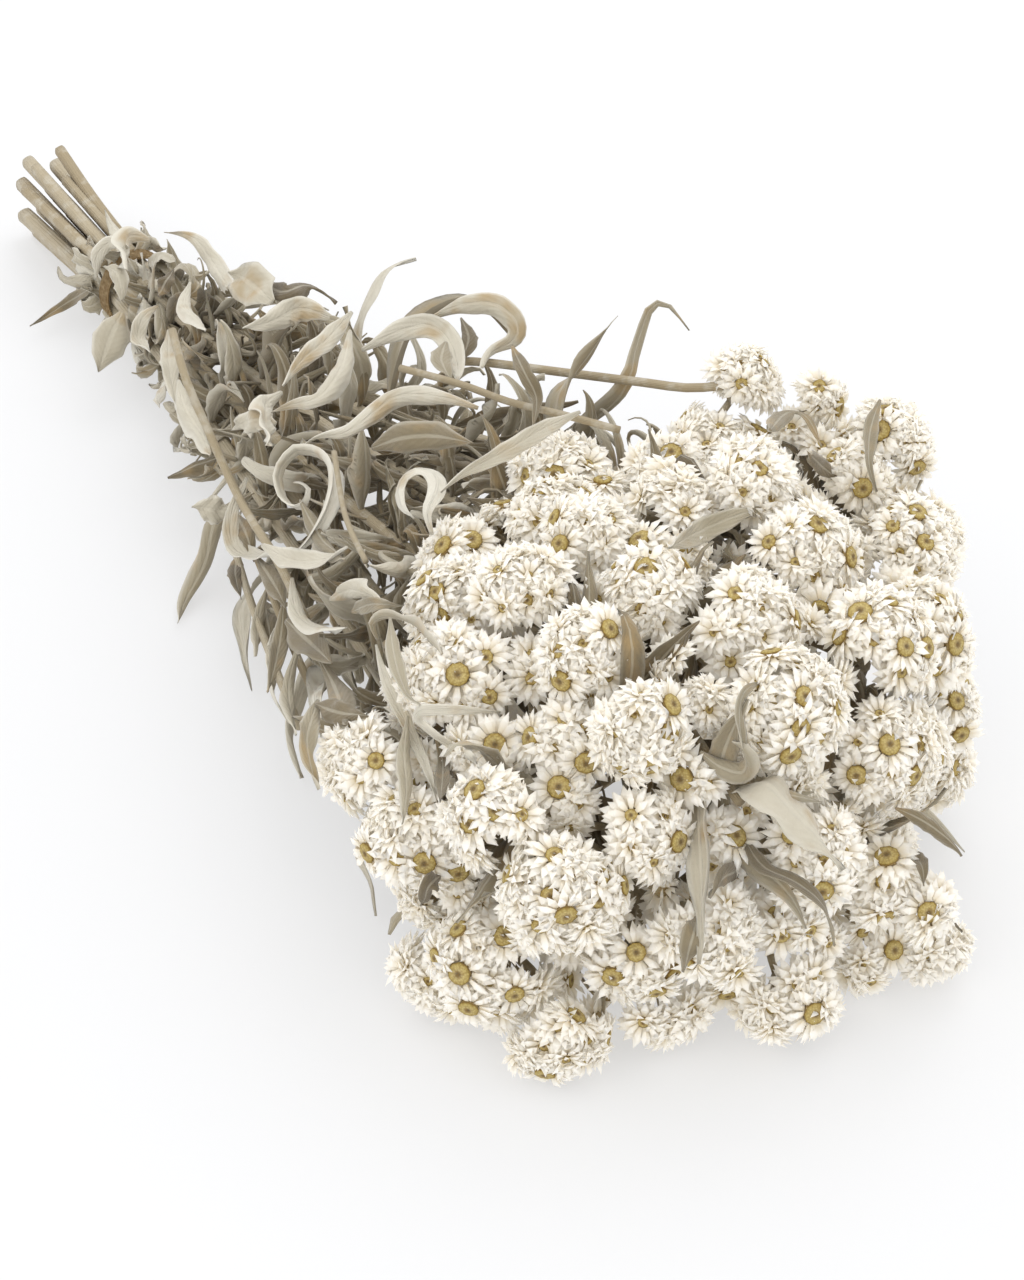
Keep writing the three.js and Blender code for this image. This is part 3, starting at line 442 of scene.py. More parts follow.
def drawn_leaf(stem, y, kind, random=draws):
    root = stem_point(stem, y)
    along = stem_direction(stem, y)
    axis_z = TIE[2] + (HEART[2] - TIE[2]) * min(max((TIE[1] - y) / (TIE[1] - HEART[1]), 0), 1)
    outward = unit((root[0] - TIE[0], 0.0, max(root[2] - axis_z, -LOWEST_LEAN)))
    roll = random.between(-1.3, 1.3) * kind["roll"]
    leaning = turned(unit(add(outward, along, -dot(outward, along))), along, roll)
    return grown_leaf(root, y, along, facet_middle(along, leaning), kind, random)


def finished_leaf(points, y, away, width, twist, segments):
    first = unit(sub(points[1], points[0]))
    start = scaled(unit(add(away, first, -dot(away, first))), -1)
    return dict(y=y, frames=leaf_frames(points, start, twist), width=width, segments=segments)


def smooth_line(through, steps):
    fine = [through[0]]
    last = len(through) - 1
    for i in range(last):
        a, b = through[i], through[i + 1]
        leaving = scaled(sub(b, through[max(i - 1, 0)]), 0.5)
        reaching = scaled(sub(through[min(i + 2, last)], a), 0.5)
        for k in range(1, SPAN_STEPS + 1):
            t = k / SPAN_STEPS
            point = add(scaled(a, 2 * t ** 3 - 3 * t ** 2 + 1), b, 3 * t ** 2 - 2 * t ** 3)
            fine.append(add(add(point, leaving, t ** 3 - 2 * t ** 2 + t), reaching, t ** 3 - t ** 2))
    reached = [0.0]
    for p, q in zip(fine, fine[1:]):
        reached.append(reached[-1] + size_of(sub(q, p)))
    points = []
    for step in range(steps + 1):
        wanted = reached[-1] * step / steps
        i = next((n for n, distance in enumerate(reached) if distance >= wanted), len(fine) - 1)
        i = min(max(i, 1), len(fine) - 1)
        points.append(mix(fine[i - 1], fine[i], (wanted - reached[i - 1]) / (reached[i] - reached[i - 1])))
    return points


def placed_leaf(stem, y, width, twist, line):
    root = stem_point(stem, y)
    points = smooth_line([root, *[tuple(map(float, place)) for place in line]], LEAF_STEPS)
    away = facet_middle(stem_direction(stem, y), sub(points[4], root))
    return finished_leaf(points, y, away, width, twist, 6)


def mass_place(places):
    """How far out of the mass of leaves the places lie: up to MASS_SLACK is inside."""
    share = np.maximum((TIE[1] - places[:, 1]) / (TIE[1] - HEART[1]), 0)
    half = MASS_HALF[0] + MASS_HALF[1] * share ** MASS_HALF[2]
    middle = (MASS_TOP[0] + MASS_TOP[1] * share ** MASS_TOP[2]) / 2
    return ((places[:, 0] - TIE[0]) / half) ** 2 + ((places[:, 2] - middle) / middle) ** 2


def leaf_fits(leaf, stem, clusters):
    line = [section[0] for section in leaf_sections(leaf)]
    for i, point in enumerate(line):
        for other in line[i + 2:]:
            if size_of(sub(point, other)) <= 1.3 * size_of(sub(point, line[i + 1])):
                return False
    places, shares = leaf_samples(leaf)
    if places[:, 2].min() <= FLOOR_CLEARANCE or mass_place(places).max() >= MASS_SLACK:
        return False
    middles = np.array([cluster["middle"] for cluster in clusters])
    radii = np.array([cluster["radius"] for cluster in clusters])
    apart = np.linalg.norm(places[:, None] - middles[None], axis=2)
    if (apart <= radii[None] + CLUSTER_CLEARANCE).any():
        return False
    return obstacles.clear(places, shares, stem["index"])


def keep_leaf(stem, leaf):
    stem["leaves"].append(leaf)
    obstacles.add(leaf_samples(leaf)[0], LEAF_CLEARANCE, -1)


def leaf_height(stem, turn, attempt):
    free = attempt > LEAF_TRIES / 3
    share = draws.between(0, 1) if free else (turn - 0.5 + draws.between(-0.6, 0.6)) / (LEAVES_PER_STEM - 1)
    nearest, furthest = COLLAR_REACH
    last = max(stem["fork"][1] + 12, 0)
    if turn == 0:
        y = TIE[1] - draws.between(nearest, furthest)
    else:
        y = TIE[1] - furthest - share * (TIE[1] - furthest - last)
    return min(y, TIE[1] - nearest)


def tie_point(angle, out, along):
    return (TIE[0] + (TIE_INNER[0] + out) * math.cos(angle), TIE[1] + along * TIE_WIDTH,
            TIE[2] + (TIE_INNER[1] + out) * math.sin(angle))


def lay_out():
    """The whole layout: stems with their forks, leaves and branchlets, and the settled clusters."""
    stems = plan_stems()
    clusters = [cluster for stem in stems for cluster in stem["clusters"]]
    settle(clusters)
    for stem in stems:
        place_fork(stem)
    for cluster in clusters:
        from_fork = unit(sub(cluster["middle"], stems[cluster["stem"]]["fork"]))
        from_heart = unit(sub(cluster["middle"], HEART))
        cluster["axis"] = unit(add(from_heart, from_fork, FORK_PULL))
    start = add(stem_point(stems[SHOOT["parent"]], SHOOT["y"]), SHOOT["start"])
    stems.append(dict(index=len(stems), slot=None, clusters=[], leaves=[], start=start,
                      fork=SHOOT["tip"], end_y=start[1]))
    for stem in stems:
        heights = []
        y = stem["end_y"]
        while y > stem["fork"][1]:
            heights.append(y)
            y -= SAMPLE_STEP
        obstacles.add([stem_point(stem, y) for y in heights], STEM_RADIUS + STEM_CLEARANCE, stem["index"])
        stem["branchlets"] = []
        if stem["clusters"]:
            stalk = corymb_stalk(stem)
            stem["branchlets"] = [stalk] + [
                side_branchlet(stem, stalk, i) for i in range(1, len(stem["clusters"]))]
        for curve in stem["branchlets"]:
            course = [curve.point(i / 14) for i in range(15)]
            obstacles.add(course, BRANCHLET_RADIUS + BRANCHLET_CLEARANCE, -1)
    ring = [tie_point(2 * math.pi * i / 60, TIE_WALL, along)
            for i in range(60) for along in (-0.5, -0.25, 0, 0.25, 0.5)]
    obstacles.add(ring, TIE_CLEARANCE, -1)
    for number, *shape in PLACED_LEAVES:
        keep_leaf(stems[number], placed_leaf(stems[number], *shape))
    for turn in range(LEAVES_PER_STEM):
        for stem in stems[:-1]:
            draws.reseed(4000 + stem["index"] * 50 + turn)
            for attempt in range(LEAF_TRIES):
                y = leaf_height(stem, turn, attempt)
                leaf = drawn_leaf(stem, y, BODY_LEAF if turn else COLLAR_LEAF)
                spaced = all(abs(other["y"] - leaf["y"]) > LEAF_SPACING for other in stem["leaves"])
                if spaced and leaf_fits(leaf, stem, clusters):
                    keep_leaf(stem, leaf)
                    break
    return stems, clusters


stems, clusters = lay_out()
middles = np.array([cluster["middle"] for cluster in clusters])
radii = np.array([cluster["radius"] for cluster in clusters])


# The layout's millimetres become the frame's metres
low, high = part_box("tie_band")
SHIFT = np.array([(a + b) / 2 for a, b in zip(low, high)]) - np.array(TIE) / 1000


def to_frame(places):
    return np.asarray(places, float) / 1000 + SHIFT


# The photo's viewpoint
CAMERA_AZIMUTH = math.radians(-32)
CAMERA_ELEVATION = math.radians(38)
CAMERA_DISTANCE = 755
CAMERA_LENS = 85
CAMERA_SENSOR = 36
CAMERA_TARGET = (0, 0, 28)
CAMERA_AWAY = np.array((math.sin(CAMERA_AZIMUTH) * math.cos(CAMERA_ELEVATION),
                        -math.cos(CAMERA_AZIMUTH) * math.cos(CAMERA_ELEVATION), math.sin(CAMERA_ELEVATION)))
CAMERA_PLACE = np.array(CAMERA_TARGET) + CAMERA_AWAY * CAMERA_DISTANCE
CAMERA_RIGHT = np.array((math.cos(CAMERA_AZIMUTH), math.sin(CAMERA_AZIMUTH), 0))
CAMERA_UP = np.cross(CAMERA_AWAY, CAMERA_RIGHT)


# Sizes and counts of what only the picture shows, in millimetres
FULL_TURN = 6.28
LEAF_ROWS = 24
LEAF_COLUMNS = 6
EXTRA_ROWS = 13
PICTURE_ROWS = 32
INNER_ROWS = 9
NARROWEST_HALF = 0.22
BLADE_HALF = 0.22
STEM_RIDGES = 5
PICTURE_STALK_SIDES = 10
HEART_SIDES = 9
TIE_TURNS = 4
TIE_STEPS = 48
# Across one strand of the tie: how far out it lies, and how far along the stems in strands
STRAND = ((0.05, -0.46), (TIE_WALL * 0.9, -0.40), (TIE_WALL * 1.05, 0.0), (TIE_WALL * 0.9, 0.40),
          (0.05, 0.46))
TUBE_SIDES = 15
TUBE_STEP = 5.0
HEAD_SPAN = 7.8
HEAD_SPACING = 6.0
HEAD_HEIGHT = 5.4
OPEN_SHARE = 0.2
HALF_OPEN_SHARE = 0.15


def new_object(name, data):
    made = bpy.data.objects.new(name, data)
    bpy.context.scene.collection.objects.link(made)
    return made


class Surface:
    """Collects the corners, faces and values of one piece before it becomes a mesh."""

    def __init__(self, name):
        self.name = name
        self.corners, self.faces, self.materials, self.smooth = [], [], [], []
        self.values = {"tone": [], "upper": [], "across": [], "along": []}
        self.count = 0

    def grow(self, corners, faces, material, smooth=True, **values):
        corners = np.asarray(corners, float).reshape(-1, 3)
        self.corners.append(corners)
        self.faces.append(np.asarray(faces, int) + self.count)
        self.materials.append(np.full(len(faces), material))
        self.smooth.append(np.broadcast_to(smooth, len(faces)))
        for name, collected in self.values.items():
            collected.append(np.broadcast_to(np.asarray(values.get(name, 0.0), float), (len(corners),)))
        self.count += len(corners)

    def mesh(self, materials):
        faces = np.concatenate(self.faces)
        places = np.concatenate(self.corners)
        places[:, 2] = np.maximum(places[:, 2], 0)
        mesh = bpy.data.meshes.new(self.name)
        mesh.vertices.add(self.count)
        mesh.vertices.foreach_set("co", to_frame(places).astype(np.float32).ravel())
        triangle = faces[:, 3] == faces[:, 2]
        sizes = np.where(triangle, 3, 4)
        mesh.loops.add(int(sizes.sum()))
        mesh.polygons.add(len(faces))
        starts = np.concatenate([[0], np.cumsum(sizes)[:-1]])
        mesh.polygons.foreach_set("loop_start", starts.astype(np.int32))
        flat = faces.ravel()[np.stack([np.ones(len(faces), bool)] * 3 + [~triangle], axis=1).ravel()]
        mesh.loops.foreach_set("vertex_index", flat.astype(np.int32))
        mesh.polygons.foreach_set("material_index", np.concatenate(self.materials).astype(np.int32))
        mesh.polygons.foreach_set("use_smooth", np.concatenate(self.smooth))
        for name, collected in self.values.items():
            layer = mesh.attributes.new(name, "FLOAT", "POINT")
            layer.data.foreach_set("value", np.concatenate(collected).astype(np.float32))
        for material in materials:
            mesh.materials.append(material)
        mesh.update(calc_edges=True)
        mesh.validate()
        return mesh


def grid_faces(rows, columns, closed=False):
    """Four-sided faces of a grid of corners, row by row. A closed grid joins its last column to its first."""
    faces = []
    for i in range(rows - 1):
        for j in range(columns if closed else columns - 1):
            k = (j + 1) % columns
            faces.append((i * columns + j, i * columns + k, (i + 1) * columns + k, (i + 1) * columns + j))
    return faces


def tube(surface, points, radii, material, sides=8, ridges=0, ridge_depth=0.0, tone=0.5, cap=None):
    """A closed tube along the points. Its ends are rounded, or cut square with a material of their own."""
    points = np.asarray(points, float)
    radii = np.asarray(radii, float)
    tangents = np.gradient(points, axis=0)
    tangents /= np.linalg.norm(tangents, axis=1)[:, None]
    side = np.array(across_of(tuple(tangents[0])))
    rings = []
    turns = 2 * np.pi * np.arange(sides) / sides
    shape = 1 + ridge_depth * np.cos(ridges * turns)
    for point, tangent, radius in zip(points, tangents, radii):
        side = side - tangent * side.dot(tangent)
        side /= np.linalg.norm(side)
        up = np.cross(tangent, side)
        outwards = np.cos(turns)[:, None] * side + np.sin(turns)[:, None] * up
        rings.append(point + radius * shape[:, None] * outwards)
    corners = np.concatenate([np.concatenate(rings), points[:1], points[-1:]])
    faces = grid_faces(len(points), sides, closed=True)
    first, last = len(corners) - 2, len(corners) - 1
    start = (len(points) - 1) * sides
    ends = [(first, (j + 1) % sides, j, j) for j in range(sides)]
    tips = [(last, start + j, start + (j + 1) % sides, start + (j + 1) % sides) for j in range(sides)]
    along = np.concatenate([np.repeat(np.arange(len(points)) / (len(points) - 1), sides), [0, 1]])
    across = np.concatenate([np.tile(np.arange(sides) / sides, len(points)), [0.5, 0.5]])
    offset = surface.count
    surface.grow(corners, faces + tips, material, tone=tone, along=along, across=across)
    surface.faces.append(np.asarray(ends) + offset)
    surface.materials.append(np.full(sides, material if cap is None else cap))
    surface.smooth.append(np.full(sides, cap is None))


def blade(surface, leaf, material, random, rows=LEAF_ROWS, columns=LEAF_COLUMNS, crumple=0.5, tone=None):
    """A closed leaf blade: grooved along the midrib, its margins rolled and waved as it dried."""
    points, sides, faces_up = (np.array([frame[i] for frame in leaf["frames"]]) for i in range(3))
    steps = np.linspace(0, 1, rows)
    nodes = np.linspace(0, 1, len(points))
    middle, side, face = (np.stack([np.interp(steps, nodes, values[:, k]) for k in range(3)], axis=1)
                          for values in (points, sides, faces_up))
    side /= np.linalg.norm(side, axis=1)[:, None]
    face /= np.linalg.norm(face, axis=1)[:, None]
    root = np.minimum(0.4 + 2.5 * steps, 1)
    taper = np.sqrt(np.clip(1 - np.clip((steps - 0.55) / 0.45, 0, 1) ** 1.6, 0, 1))
    half = leaf["width"] / 2 * (0.22 + 0.78 * np.sin(np.pi * np.minimum(0.1 + 0.9 * steps, 1))) * taper * root
    half = np.maximum(half, NARROWEST_HALF)[:, None]
    u = np.linspace(-1, 1, columns + 1)
    t = steps[:, None]
    phase = random.uniform(0, FULL_TURN, 4)
    groove = fold_at(t) * 2 * np.sqrt(u ** 2 + 0.02)
    roll = random.uniform(0.0, 1.9) * (0.7 + 0.3 * np.sin(5 * t + phase[3])) * np.abs(u) ** 3
    waves = np.sin(random.uniform(1.4, 3.2) * FULL_TURN * t + phase[0] + np.where(u > 0, 0.0, phase[1]))
    ripple = crumple * (u ** 2 * waves + 0.3 * np.sin(15 * t + phase[2] + 2 * u)) * np.minimum(3 * t, 1)
    rise = half * (groove - roll) + ripple * (1.3 - 0.6 * t)
    spread = half * u * (1 - 0.16 * roll - 0.1 * np.abs(u * waves))
    sheet = middle[:, None] + side[:, None] * spread[..., None] + face[:, None] * rise[..., None]
    thickness = BLADE_HALF * (1.0 - 0.45 * np.abs(u))[None, :] * np.ones((rows, 1))
    ridge = 0.5 * np.exp(-(u / 0.16) ** 2)[None, :] * (1 - 0.8 * t) * np.minimum(half / 2, 1)
    top = sheet + face[:, None] * thickness[..., None]
    bottom = sheet - face[:, None] * (thickness + ridge)[..., None]
    wide = columns + 1
    corners = np.concatenate([top.reshape(-1, 3), bottom.reshape(-1, 3)])
    size = rows * wide
    upper_faces = np.array(grid_faces(rows, wide))
    lower_faces = upper_faces[:, ::-1] + size
    edge = []
    for i in range(rows - 1):
        a, b = i * wide, (i + 1) * wide
        edge.append((a, b, b + size, a + size))
        a, b = a + columns, b + columns
        edge.append((a + size, b + size, b, a))
    for j in range(columns):
        edge.append((j, j + size, j + 1 + size, j + 1))
        k = (rows - 1) * wide + j
        edge.append((k, k + 1, k + 1 + size, k + size))
    faces = np.concatenate([upper_faces, lower_faces, np.array(edge)])
    if tone is None:
        tone = random.uniform(0, 1)
    surface.grow(corners, faces, material, smooth=np.arange(len(faces)) < 2 * len(upper_faces), tone=tone,
                 upper=np.repeat([1.0, 0.0], size), along=np.tile(np.repeat(steps, wide), 2),
                 across=np.tile(np.tile(u / 2 + 0.5, rows), 2))


# Materials

class Nodes:
    """Builds a node tree with short calls. An input is a value or another node's output."""

    def __init__(self, tree):
        self.tree = tree

    def add(self, kind, inputs=None, **settings):
        made = self.tree.nodes.new(kind)
        for name, value in settings.items():
            setattr(made, name, value)
        for name, value in (inputs or {}).items():
            if isinstance(value, bpy.types.NodeSocket):
                self.tree.links.new(value, made.inputs[name])
            else:
                made.inputs[name].default_value = value
        return made

    def math(self, operation, a, b=0.0):
        return self.add("ShaderNodeMath", {0: a, 1: b}, operation=operation).outputs[0]

    def times(self, a, b):
        return self.math("MULTIPLY", a, b)

    def plus(self, a, b):
        return self.math("ADD", a, b)

    def fade(self, value, start, end, low=0.0, high=1.0):
        """From low to high as the value goes from start to end."""
        made = self.add("ShaderNodeMapRange", {"Value": value, "From Min": start, "From Max": end,
                                               "To Min": low, "To Max": high})
        return made.outputs[0]

    def value(self, name):
        return self.add("ShaderNodeAttribute", attribute_name=name).outputs["Fac"]

    def noise(self, scale, detail=3.0, roughness=0.5, vector=None):
        place = vector or self.add("ShaderNodeTexCoord").outputs["Object"]
        made = self.add("ShaderNodeTexNoise", {"Vector": place, "Scale": scale, "Detail": detail,
                                               "Roughness": roughness})
        return made.outputs["Fac"]

    def ramp(self, factor, *stops):
        made = self.add("ShaderNodeValToRGB", {"Fac": factor})
        elements = made.color_ramp.elements
        while len(elements) < len(stops):
            elements.new(0.5)
        for element, (position, colour) in zip(elements, stops):
            element.position = position
            element.color = (*colour, 1.0)
        return made.outputs["Color"]

    def blend(self, factor, a, b):
        made = self.add("ShaderNodeMix", data_type="RGBA")
        for socket, value in ((0, factor), (6, a), (7, b)):
            if isinstance(value, bpy.types.NodeSocket):
                self.tree.links.new(value, made.inputs[socket])
            else:
                made.inputs[socket].default_value = value if socket == 0 else (*value, 1.0)
        return made.outputs[2]


def new_material(name, roughness, sheen=0.0, subsurface=0.0):
    material = bpy.data.materials.new(name)
    material.use_nodes = True
    shader = material.node_tree.nodes["Principled BSDF"]
    shader.inputs["Roughness"].default_value = roughness
    shader.inputs["Specular IOR Level"].default_value = 0.25
    shader.inputs["Sheen Weight"].default_value = sheen
    shader.inputs["Sheen Roughness"].default_value = 0.6
    if subsurface:
        shader.inputs["Subsurface Weight"].default_value = subsurface
        shader.inputs["Subsurface Radius"].default_value = (1.0, 0.95, 0.85)
        shader.inputs["Subsurface Scale"].default_value = 0.003
    return material, Nodes(material.node_tree), shader


def finish_material(nodes, shader, colour, height, strength, distance=0.0002):
    bump = nodes.add("ShaderNodeBump", {"Height": height, "Strength": strength, "Distance": distance})
    nodes.tree.links.new(bump.outputs["Normal"], shader.inputs["Normal"])
    nodes.tree.links.new(colour, shader.inputs["Base Color"])


def leaf_material():
    """Grey woolly leaves: pale felt below, thinner and browner above, with a pale midrib."""
    material, nodes, shader = new_material("woolly_leaf", 0.92, sheen=0.25)
    tone, upper = nodes.value("tone"), nodes.value("upper")
    across, along = nodes.value("across"), nodes.value("along")
    below = nodes.ramp(tone, (0.0, (0.20, 0.16, 0.09)), (0.3, (0.43, 0.38, 0.275)),
                       (0.7, (0.65, 0.61, 0.505)), (1.0, (0.77, 0.74, 0.65)))
    above = nodes.ramp(tone, (0.0, (0.085, 0.06, 0.026)), (0.25, (0.20, 0.16, 0.09)),
                       (0.6, (0.41, 0.365, 0.265)), (1.0, (0.64, 0.60, 0.495)))
    colour = nodes.blend(upper, below, above)
    mottle = nodes.noise(420.0, 4.0, 0.6)
    colour = nodes.blend(nodes.times(mottle, 0.35), colour, (0.36, 0.30, 0.21))
    dry = nodes.fade(nodes.noise(95.0, 2.0), 0.55, 0.7, high=0.7)
    colour = nodes.blend(dry, colour, (0.38, 0.26, 0.115))
    middle = nodes.math("ABSOLUTE", nodes.math("SUBTRACT", across, 0.5))
    rib = nodes.fade(middle, 0.035, 0.075, 1.0, 0.0)
    colour = nodes.blend(nodes.times(rib, 0.3), colour, (0.66, 0.61, 0.49))
    margin = nodes.fade(middle, 0.34, 0.46, high=0.7)
    colour = nodes.blend(nodes.times(margin, tone), colour, (0.70, 0.66, 0.56))
    veins = nodes.math("SINE", nodes.plus(nodes.times(along, 60.0), nodes.times(middle, 34.0)))
    wool = nodes.noise(2600.0, 3.0, 0.7)
    height = nodes.plus(nodes.times(wool, 0.8), nodes.times(veins, 0.18))
    height = nodes.plus(height, nodes.times(rib, -0.7))
    finish_material(nodes, shader, colour, height, 0.8, 0.00025)
    return material


def stem_material():
    """Beige dried stems with fine lengthwise ridges and scraps of wool."""
    material, nodes, shader = new_material("dried_stem", 0.85, sheen=0.1)
    tone, across = nodes.value("tone"), nodes.value("across")
    colour = nodes.ramp(tone, (0.0, (0.27, 0.205, 0.115)), (0.5, (0.41, 0.34, 0.225)),
                        (1.0, (0.54, 0.48, 0.36)))
    place = nodes.add("ShaderNodeTexCoord").outputs["Object"]
    stretched = nodes.add("ShaderNodeMapping", {"Vector": place, "Scale": (1.0, 0.06, 1.0)}).outputs[0]
    streaks = nodes.noise(1500.0, 3.0, 0.6, stretched)
    colour = nodes.blend(nodes.times(streaks, 0.55), colour, (0.30, 0.235, 0.14))
    wool = nodes.fade(nodes.noise(160.0, 3.0, 0.65), 0.5, 0.66, high=0.55)
    colour = nodes.blend(wool, colour, (0.56, 0.52, 0.43))
    ridges = nodes.math("SINE", nodes.times(across, 2 * math.pi * 15))
    height = nodes.plus(nodes.times(ridges, 0.35), nodes.times(streaks, 0.8))
    finish_material(nodes, shader, colour, height, 0.7)
    return material


def cut_material():
    """Cut stem ends: a mottle of two tans."""
    material, nodes, shader = new_material("cut_end", 0.9)
    mottle = nodes.noise(1900.0, 2.0)
    colour = nodes.ramp(mottle, (0.3, (0.36, 0.24, 0.12)), (0.7, (0.62, 0.50, 0.33)))
    finish_material(nodes, shader, colour, mottle, 0.6)
    return material


def stalk_material():
    """Cream woolly stalks among the flower heads."""
    material, nodes, shader = new_material("woolly_stalk", 0.95, sheen=0.35)
    wool = nodes.noise(2200.0, 4.0, 0.7)
    colour = nodes.ramp(nodes.noise(300.0), (0.3, (0.30, 0.235, 0.13)), (0.7, (0.54, 0.47, 0.34)))
    finish_material(nodes, shader, colour, wool, 0.9, 0.0003)
    return material


def bract_material():
    """Papery white bracts, cream to ochre where they leave the head, with a faint warm glow painted in as
    light that lifts their shade.
    """
    material, nodes, shader = new_material("papery_bract", 0.6, sheen=0.1, subsurface=0.7)
    tone, along = nodes.value("tone"), nodes.value("along")
    white = nodes.ramp(tone, (0.0, (0.94, 0.885, 0.77)), (0.25, (0.95, 0.94, 0.91)),
                       (1.0, (0.955, 0.96, 0.96)))
    foot = nodes.ramp(along, (0.0, (0.8, 0.8, 0.8)), (0.3, (0.3, 0.3, 0.3)), (0.55, (0, 0, 0)))
    colour = nodes.blend(foot, white, (0.78, 0.63, 0.36))
    streaks = nodes.noise(3800.0, 2.0)
    colour = nodes.blend(nodes.times(streaks, 0.06), colour, (0.86, 0.80, 0.68))
    # Painted light: the bracts glow faintly warm, though they are no lamp, so that their shade reads lighter.
    shader.inputs["Emission Color"].default_value = (1.0, 0.95, 0.84, 1)
    shader.inputs["Emission Strength"].default_value = 0.04
    finish_material(nodes, shader, colour, streaks, 0.2, 0.0001)
    return material


def heart_material():
    """The middle of a head: a pale body below, a brown rim, mustard florets and a dark centre."""
    material, nodes, shader = new_material("floret_disc", 0.8)
    along = nodes.value("along")
    colour = nodes.ramp(along, (0.0, (0.58, 0.50, 0.33)), (0.42, (0.60, 0.48, 0.26)),
                        (0.52, (0.20, 0.13, 0.035)), (0.62, (0.50, 0.39, 0.13)), (0.84, (0.61, 0.50, 0.215)),
                        (0.94, (0.44, 0.35, 0.17)), (0.98, (0.13, 0.10, 0.06)))
    place = nodes.add("ShaderNodeTexCoord").outputs["Object"]
    florets = nodes.add("ShaderNodeTexVoronoi", {"Vector": place, "Scale": 1900.0}).outputs["Distance"]
    colour = nodes.blend(nodes.times(florets, 0.75), colour, (0.24, 0.14, 0.03))
    finish_material(nodes, shader, colour, florets, 0.9, 0.0003)
    return material


def fibre_material():
    """Dried fibre, its strands along the band."""
    material, nodes, shader = new_material("fibre_tie", 0.8)
    across = nodes.value("across")
    strands = nodes.math("SINE", nodes.times(across, 60.0))
    patches = nodes.noise(900.0, 3.0)
    colour = nodes.ramp(patches, (0.3, (0.34, 0.21, 0.09)), (0.7, (0.60, 0.44, 0.24)))
    finish_material(nodes, shader, colour, nodes.plus(strands, patches), 0.8, 0.0003)
    return material


MATERIALS = dict(leaf=leaf_material(), stem=stem_material(), cut=cut_material(), stalk=stalk_material(),
                 bract=bract_material(), heart=heart_material(), fibre=fibre_material())


def bract_object():
    """A pointed blade one unit long and wide, upright on its foot, with a keel and its tip bent outwards."""
    surface = Surface("bract")
    rings = ((0.0, 0.5, 0.0), (0.6, 1.0, -0.08))
    corners = []
    for height, width, bulge in rings:
        edge = bulge + 0.1 * width
        corners += [(-width / 2, edge, height), (0, bulge - 0.07, height), (width / 2, edge, height)]
    corners.append((0, -0.2, 1.0))
    faces = [tuple(face) for face in grid_faces(len(rings), 3, closed=True)]
    faces += [(3 + j, 3 + (j + 1) % 3, 6, 6) for j in range(3)]
    faces.append((2, 1, 0, 0))
    surface.grow(corners, faces, 0, smooth=False, along=np.repeat([0.0, 0.6, 1.0], [3, 3, 1]))
    return prototype(surface, "bract")


def heart_object():
    """The middle of a head: a body on its stalk that widens to a low dome of florets."""
    surface = Surface("heart")
    profile = ((0.0, 0.3, 0.0), (0.35, 0.8, 0.2), (0.75, 0.9, 0.4), (0.98, 1.0, 0.55), (1.08, 0.72, 0.75),
               (1.10, 0.3, 0.95))
    sides = HEART_SIDES
    corners = []
    for height, radius, _ in profile:
        for j in range(sides):
            angle = 2 * math.pi * j / sides
            corners.append((radius * math.cos(angle), radius * math.sin(angle), height))
    corners += [(0, 0, -0.05), (0, 0, 1.04)]
    faces = grid_faces(len(profile), sides, closed=True)
    foot, top = len(corners) - 2, len(corners) - 1
    rim = (len(profile) - 1) * sides
    for j in range(sides):
        k = (j + 1) % sides
        faces += [(foot, k, j, j), (top, rim + j, rim + k, rim + k)]
    along = np.concatenate([np.repeat([share for _, _, share in profile], sides), [0.0, 1.0]])
    surface.grow(corners, faces, 0, along=along)
    return prototype(surface, "heart")


def prototype(surface, material):
    """An object in its own units, which the flower tree copies and the script then removes."""
    mesh = surface.mesh([MATERIALS[material]])
    corners = np.concatenate(surface.corners)
    mesh.vertices.foreach_set("co", corners.astype(np.float32).ravel())
    mesh.update()
    return new_object(surface.name, mesh)


def named(nodes, name, kind="FLOAT"):
    return nodes.add("GeometryNodeInputNamedAttribute", {"Name": name}, data_type=kind).outputs["Attribute"]


def head_rotation(nodes):
    facing = named(nodes, "facing", "FLOAT_VECTOR")
    return nodes.add("FunctionNodeAlignRotationToVector", {"Vector": facing}, axis="Z").outputs[0]


def new_tree(name, inputs, result):
    """A tree with these inputs and one geometry as its result, its nodes, and what it is given."""
    tree = bpy.data.node_groups.new(name, "GeometryNodeTree")
    for label, kind in inputs:
        tree.interface.new_socket(label, in_out="INPUT", socket_type="NodeSocket" + kind)
    tree.interface.new_socket(result, in_out="OUTPUT", socket_type="NodeSocketGeometry")
    nodes = Nodes(tree)
    return tree, nodes, nodes.add("NodeGroupInput").outputs


# What a layer of bracts is given, and its four layers. Tilts are in radians, and the sizes in millimetres.
LAYER_VALUES = ("Count", "Closed Tilt", "Open Tilt", "Closed Ring", "Open Ring", "Height", "Length", "Width")
FIRST_SIZE = LAYER_VALUES.index("Closed Ring")
LAYERS = (
    (13, 1.50, 1.90, 1.7, 2.0, 1.0, 3.7, 1.75),
    (14, 1.24, 1.64, 1.7, 2.4, 1.7, 4.2, 1.7),
    (12, 0.95, 1.42, 1.4, 2.5, 2.3, 4.0, 1.6),
    (8, 0.55, 1.24, 0.9, 2.5, 2.6, 3.5, 1.5),
)


